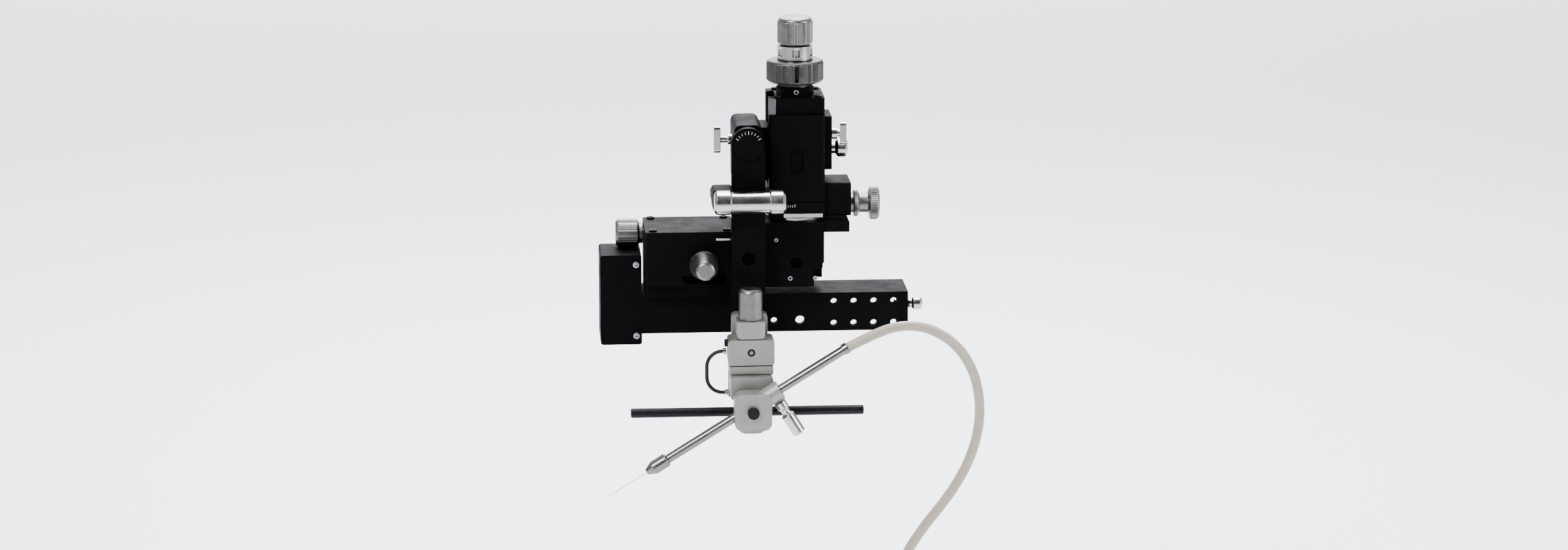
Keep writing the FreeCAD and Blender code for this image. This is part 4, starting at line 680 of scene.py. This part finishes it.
# each small screw or nipple: its piece, the point on the piece's box that it is measured from,
# its place from there, the way out, its radius, how far it stands out and how deep it goes, in
# millimetres, and its finish
SMALL_SCREWS = (
    ("gib_screw_1", "x_carriage", (0, 0, 0), (8, 0, 3.9), FRONT, 1.05, 0.15, 0.6,
     bright_screw_steel),
    ("gib_screw_2", "x_carriage", (0, 0, 0), (24.3, 0, 3.9), FRONT, 1.05, 0.15, 0.6,
     bright_screw_steel),
    ("gib_screw_3", "x_carriage", (0, 0, 0), (35.5, 0, 3.9), FRONT, 1.05, 0.15, 0.6,
     bright_screw_steel),
    ("carriage_stop_screw", "x_carriage", (0, 0, 0), (18, 0, 21.5), FRONT, 0.9, 0.15, 0.6,
     bright_screw_steel),
    ("cell_screw", "fine_z_block", (0.5, 0, 0), (0, 0, 5.9), FRONT, 1.7, 0.2, 0.6,
     black_oxide_steel),
    ("bleed_screw", "fine_z_block", (0, 0, 1), (0, 5, -2.2), LEFT, 1.7, 1.4, 0.6,
     black_oxide_steel),
    ("neck_screw", "neck_nut", (0.5, 0, 1), (0, 0, -1.6), FRONT, 1.2, 0.25, 0.6,
     bright_screw_steel),
    ("slider_gib_screw", "z_slider", (1, 0, 0), (-5.5, 0, 2.2), FRONT, 0.9, 0.2, 0.6,
     bright_screw_steel),
    ("line_nipple_lower", "oil_line", (1, 0.5, 0), (0, 0, 0.8), LEFT, 1.35, 1.6, 0.6,
     nickel_plated),
    ("line_nipple_upper", "oil_line", (1, 0.5, 1), (-0.85, 0, -0.8), LEFT, 1.35, 1.6, 0,
     nickel_plated),
)
# the dial's lines lie this far from its axis, in millimetres, and this many degrees apart; the
# three numbers are a line's width, its length and the length of every fourth one
DIAL_RADIUS, DIAL_STEP, DIAL_LINE = 5.7, 15, (0.18, 1.0, 1.5)
# the cross slide's scale, in millimetres: its first line's foot from the base's lowest corner,
# how many lines stand 1 mm apart, and a line's width, its length and every fifth one's length
SCALE_START, SCALE_COUNT, SCALE_LINE = (1.5, -0.01, 4.9), 11, (0.16, 0.9, 1.44)


class MANIPULATOR_OT_details(bpy.types.Operator):
    """Sets the small screws, the bright strips, the scales and the line's nipples"""
    bl_idname = "manipulator.details"
    bl_label = "Small details"

    def execute(self, context):
        for name, node, start, stop, film in STRIPS:
            low = corner_of(node, 0, 0, 0)
            block(name, low + Vector(start) * MM, low + Vector(stop) * MM, film(), body_of(node))
        for name, node, corner, shift, out, radius, proud, deep, film in SMALL_SCREWS:
            face_screw(name, corner_of(node, *corner) + Vector(shift) * MM, out, radius * MM,
                       proud * MM, deep * MM, film(), body_of(node))
        dial = corner_of("tilt_pin", 0.5, 0, 0.5)
        width, short, tall = (size * MM for size in DIAL_LINE)
        lines = []
        for i in range(-4, 5):
            turn = math.radians(DIAL_STEP * i)
            middle = dial + Vector((math.sin(turn), 0, math.cos(turn))) * DIAL_RADIUS * MM
            lines.append((middle, turn, width, tall if i % 4 == 0 else short))
        engraved("tilt_dial_marks", "tilt_pin", lines)
        start = corner_of("cross_base", 0, 0, 0) + Vector(SCALE_START) * MM
        width, short, tall = (size * MM for size in SCALE_LINE)
        lines = []
        for i in range(SCALE_COUNT):
            length = tall if i % 5 == 0 else short
            lines.append((start + Vector((i * MM, 0, length / 2)), 0, width, length))
        engraved("cross_scale", "cross_base", lines)
        return {"FINISHED"}


class MANIPULATOR_OT_holder(bpy.types.Operator):
    """Finishes the cross rod, the pipette holder and its chuck"""
    bl_idname = "manipulator.holder"
    bl_label = "Rod and holder"

    def execute(self, context):
        machined("support_rod", 0.1 * MM, black_oxide_steel())
        machined("tilt_pin", 0.2 * MM, black_anodised())
        machined("pipette_holder", 0.1 * MM, ground_steel())
        machined("chuck_nut", 0.15 * MM, ground_steel())
        machined("glass_pipette", 0, borosilicate())
        machined("tube_fitting", 0.2 * MM, moulded_white())
        for node in ("y_lead_screw", "x_lead_screw", "cross_screw", "fine_screw"):
            machined(node, 0.1 * MM, bright_screw_steel())
        for node in ("y_nut", "x_nut", "cross_nut", "fine_nut"):
            machined(node, 0.15 * MM, nut_brass())
        return {"FINISHED"}


# the tube's route from the barb, in millimetres, as far as the coil
TUBE_START = (107.5, -58.75, -12.5)
TUBE_TURNS = (
    (13, 0.5, 6.5), (24, 1, 9.5), (36, 2, 8), (48, 3, 0.5), (56, 4, -11.5), (59.5, 5, -26),
    (59, 6, -41), (54.5, 7, -56), (46, 8, -71), (35, 9, -85), (26.5, 9.5, -98.5),
    (22, 9.5, -115), (22, 9.5, -133.5),
)
# the coil, in millimetres: half its spread to the sides, half its spread between the outer and
# the inner layer of turns, and the radius of its middle
LANE, LAYER, RING = 5.9, 2.3, 24.0


def coil_middle(end):
    """The coil's middle, from the point where the tube comes down into its outer layer."""
    return Vector((end.x - (RING + LAYER) * MM, end.y + LANE * MM, end.z))


def coil_points(end, turns, per_turn=16):
    """Control points of the coil: out along one layer of turns, and back along the inner one."""
    centre = coil_middle(end)
    change = 0.25          # the part of a turn in which the tube moves to the inner layer
    half = (turns - change) / 2
    points = []
    for step in range(1, round(turns * per_turn) + 1):
        t = step / per_turn
        if t < half:
            layer, lane = 1.0, -1 + 2 * t / half
        elif t < half + change:
            layer, lane = 1 - 2 * (t - half) / change, 1.0
        else:
            layer, lane = -1.0, 1 - 2 * (t - half - change) / half
        # a spline runs inside its control points, so they stand a little outside the ring
        radius = (RING + layer * LAYER) * MM / math.cos(math.pi / per_turn) ** 0.5
        at = -2 * math.pi * t
        points.append(centre + Vector((radius * math.cos(at), lane * LANE * MM,
                                       radius * math.sin(at))))
    return points


def tie(name, middle, turn):
    """A tie drawn round the coil's bundle at an angle from its right side."""
    room = 4.6             # a tube's width and a little air
    across, deep = (2 * LANE + room) * MM, (2 * LAYER + room) * MM
    thick, band = 1.0 * MM, 2.6 * MM
    deselect()
    bpy.ops.mesh.primitive_cube_add(size=1)
    piece = bpy.context.object
    piece.scale = (deep + 2 * thick, across + 2 * thick, band)
    bpy.ops.object.transform_apply(scale=True)
    deselect()
    bpy.ops.mesh.primitive_cube_add(size=1)
    inside = bpy.context.object
    inside.scale = (deep, across, 3 * band)
    bpy.ops.object.transform_apply(scale=True)
    cut_away(piece, inside)
    bevel(piece, 0.4 * MM, 3)
    angle = math.radians(turn)
    piece.rotation_euler = (0, -angle, 0)
    piece.location = middle + Vector((math.cos(angle), 0, math.sin(angle))) * RING * MM
    settle(piece, name)
    return dress(piece, moulded_white(), body_of("tube_coil"))


class MANIPULATOR_OT_tube(bpy.types.Operator):
    """Runs the milky air tube from the holder to its put-away coil"""
    bl_idname = "manipulator.tube"
    bl_label = "Air tube"

    def execute(self, context):
        start = Vector(TUBE_START) * MM
        points = [start] + [start + Vector(turn) * MM for turn in TUBE_TURNS]
        end = points[-1]
        coil = coil_points(end, sizes().coil_turns)
        # the last points come forward, a third of the way each, to the fitting before the ring
        foot = corner_of("tube_fitting", 0.5, 0.5, 0)
        forward = foot.y - coil[-1].y
        coil[-3].y += forward / 3
        coil[-2].y += forward * 2 / 3
        coil[-1] = foot
        points += coil
        curve = bpy.data.curves.new("air_tube_line", "CURVE")
        curve.dimensions = "3D"
        curve.bevel_depth = sizes().tube_width / 2
        curve.bevel_resolution = 6
        curve.resolution_u = 8
        curve.use_fill_caps = True
        spline = curve.splines.new("NURBS")
        spline.points.add(len(points) - 1)
        for point, place in zip(spline.points, points):
            point.co = (*place, 1.0)
        spline.order_u = 3
        spline.use_endpoint_u = True
        piece = bpy.data.objects.new("air_tube_run", curve)
        context.scene.collection.objects.link(piece)
        curve.materials.append(silicone())
        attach(piece, body_of("air_tube"))
        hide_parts("air_tube", "tube_coil")
        ties = [tie(f"coil_tie_{i + 1}", coil_middle(end), turn)
                for i, turn in enumerate((50, 215))]
        return {"FINISHED"}


# ---------------------------------------------------------------- stage

AIM = (0.082, -0.02, 0.012)      # the point on the object that the camera looks at
PICTURE_SHAPE = 2576 / 903       # the picture's width over its height
SENSOR = 36                      # the camera's sensor, in millimetres
# the paper, in metres: the floor's width and depth, its middle, the wall's height and the radius
# of the bend between them
FLOOR, FLOOR_MIDDLE, WALL, BEND = (14, 12), (0.08, 0, -0.215), 5, 2
# each lamp: its place, the width of its square in metres, its power and what it shines at
LAMPS = (
    ("key_light", (-0.55, -0.9, 0.95), 0.5, 20, AIM),
    ("fill_light", (1.05, -0.5, 0.3), 0.6, 7, AIM),
    ("top_light", (0.2, 0.15, 1.1), 0.6, 11, AIM),
    ("paper_light", (0.1, 0.75, 0.9), 1.2, 26, AIM),
    ("far_paper_light", (0.1, 3.0, 2.2), 3, 150, (0.1, 4.4, -0.2)),
)


class MANIPULATOR_OT_stage(bpy.types.Operator):
    """Lays the pale floor and backdrop, hangs the lights and sets the camera"""
    bl_idname = "manipulator.stage"
    bl_label = "Stage"

    def execute(self, context):
        settings = context.scene.manipulator_stage
        deselect()
        bpy.ops.mesh.primitive_plane_add(size=1, location=(0, 0, 0))
        paper = context.object
        bpy.ops.object.mode_set(mode="EDIT")
        bpy.ops.transform.resize(value=(*FLOOR, 1))
        # the far edge is drawn up into a wall, and the corner between them is rounded
        bpy.ops.mesh.select_all(action="DESELECT")
        shape = bmesh.from_edit_mesh(paper.data)
        for edge in shape.edges:
            edge.select = all(vertex.co.y > 0 for vertex in edge.verts)
        bmesh.update_edit_mesh(paper.data)
        bpy.ops.mesh.extrude_region_move(TRANSFORM_OT_translate={"value": (0, 0, WALL)})
        bpy.ops.object.mode_set(mode="OBJECT")
        paper.location = FLOOR_MIDDLE
        settle(paper, "paper_sweep")
        bevel(paper, BEND, 16)
        pick(paper)
        bpy.ops.object.shade_smooth_by_angle(angle=math.radians(40))
        paper.data.materials.append(backdrop_paper())

        world = bpy.data.worlds.new("studio_air")
        context.scene.world = world
        world.use_nodes = True
        # the room behind the camera is darker than the backdrop side, so metal gets its contrast
        tree = world.node_tree
        way = add(tree, "ShaderNodeTexCoord").outputs["Generated"]
        depth = add(tree, "ShaderNodeSeparateXYZ", {"Vector": way}).outputs["Y"]
        glow = add(tree, "ShaderNodeMapRange", {"Value": depth, "From Min": -0.75, "From Max": 0.4,
                                                "To Min": settings.room_light * 0.12,
                                                "To Max": settings.room_light})
        background = tree.nodes["Background"]
        background.inputs["Color"].default_value = tone("#e9eef4")
        tree.links.new(glow.outputs["Result"], background.inputs["Strength"])
        for name, place, width, power, aim in LAMPS:
            lamp = bpy.data.lights.new(name, "AREA")
            lamp.size = width
            lamp.energy = power
            holder = bpy.data.objects.new(name, lamp)
            holder.location = place
            holder.rotation_mode = "QUATERNION"
            holder.rotation_quaternion = (Vector(aim) - Vector(place)).to_track_quat("-Z", "Y")
            context.scene.collection.objects.link(holder)

        camera = bpy.data.objects.new("picture_camera", bpy.data.cameras.new("picture_camera"))
        context.scene.collection.objects.link(camera)
        turn, rise = math.radians(settings.azimuth), math.radians(settings.elevation)
        back = Vector((math.sin(turn) * math.cos(rise), -math.cos(turn) * math.cos(rise),
                       math.sin(rise)))
        camera.location = Vector(AIM) + back * settings.distance
        camera.rotation_mode = "QUATERNION"
        camera.rotation_quaternion = (-back).to_track_quat("-Z", "Y")
        camera.data.sensor_width = SENSOR
        wide = settings.frame_height * PICTURE_SHAPE
        camera.data.lens = SENSOR * settings.distance / wide
        context.scene.camera = camera
        context.scene.view_settings.view_transform = "AgX"
        context.scene.view_settings.look = "AgX - Medium High Contrast"
        return {"FINISHED"}


class MANIPULATOR_PT_panel(bpy.types.Panel):
    bl_idname = "MANIPULATOR_PT_panel"
    bl_label = "Micromanipulator"
    bl_space_type = "VIEW_3D"
    bl_region_type = "UI"
    bl_category = "Manipulator"

    def draw(self, context):
        for group in ("manipulator_sizes", "manipulator_finishes", "manipulator_stage"):
            settings = getattr(context.scene, group)
            for name in settings.bl_rna.properties.keys():
                if name not in ("rna_type", "name"):
                    self.layout.prop(settings, name)
        for step in STEPS:
            self.layout.operator(step.bl_idname)


STEPS = (
    MANIPULATOR_OT_stages,
    MANIPULATOR_OT_drive_unit,
    MANIPULATOR_OT_screws,
    MANIPULATOR_OT_knobs,
    MANIPULATOR_OT_knurls,
    MANIPULATOR_OT_details,
    MANIPULATOR_OT_holder,
    MANIPULATOR_OT_tube,
    MANIPULATOR_OT_stage,
)
GROUPS = {
    "manipulator_sizes": ManipulatorSizes,
    "manipulator_finishes": ManipulatorFinishes,
    "manipulator_stage": ManipulatorStage,
}


def register():
    for name, kind in GROUPS.items():
        bpy.utils.register_class(kind)
        setattr(bpy.types.Scene, name, bpy.props.PointerProperty(type=kind))
    for kind in (*STEPS, MANIPULATOR_PT_panel):
        bpy.utils.register_class(kind)


def unregister():
    for kind in reversed((*STEPS, MANIPULATOR_PT_panel)):
        bpy.utils.unregister_class(kind)
    for name, kind in GROUPS.items():
        delattr(bpy.types.Scene, name)
        bpy.utils.unregister_class(kind)


def main():
    register()
    for step in STEPS:
        space, name = step.bl_idname.split(".")
        getattr(getattr(bpy.ops, space), name)()
    deselect()


if __name__ == "__main__":
    main()
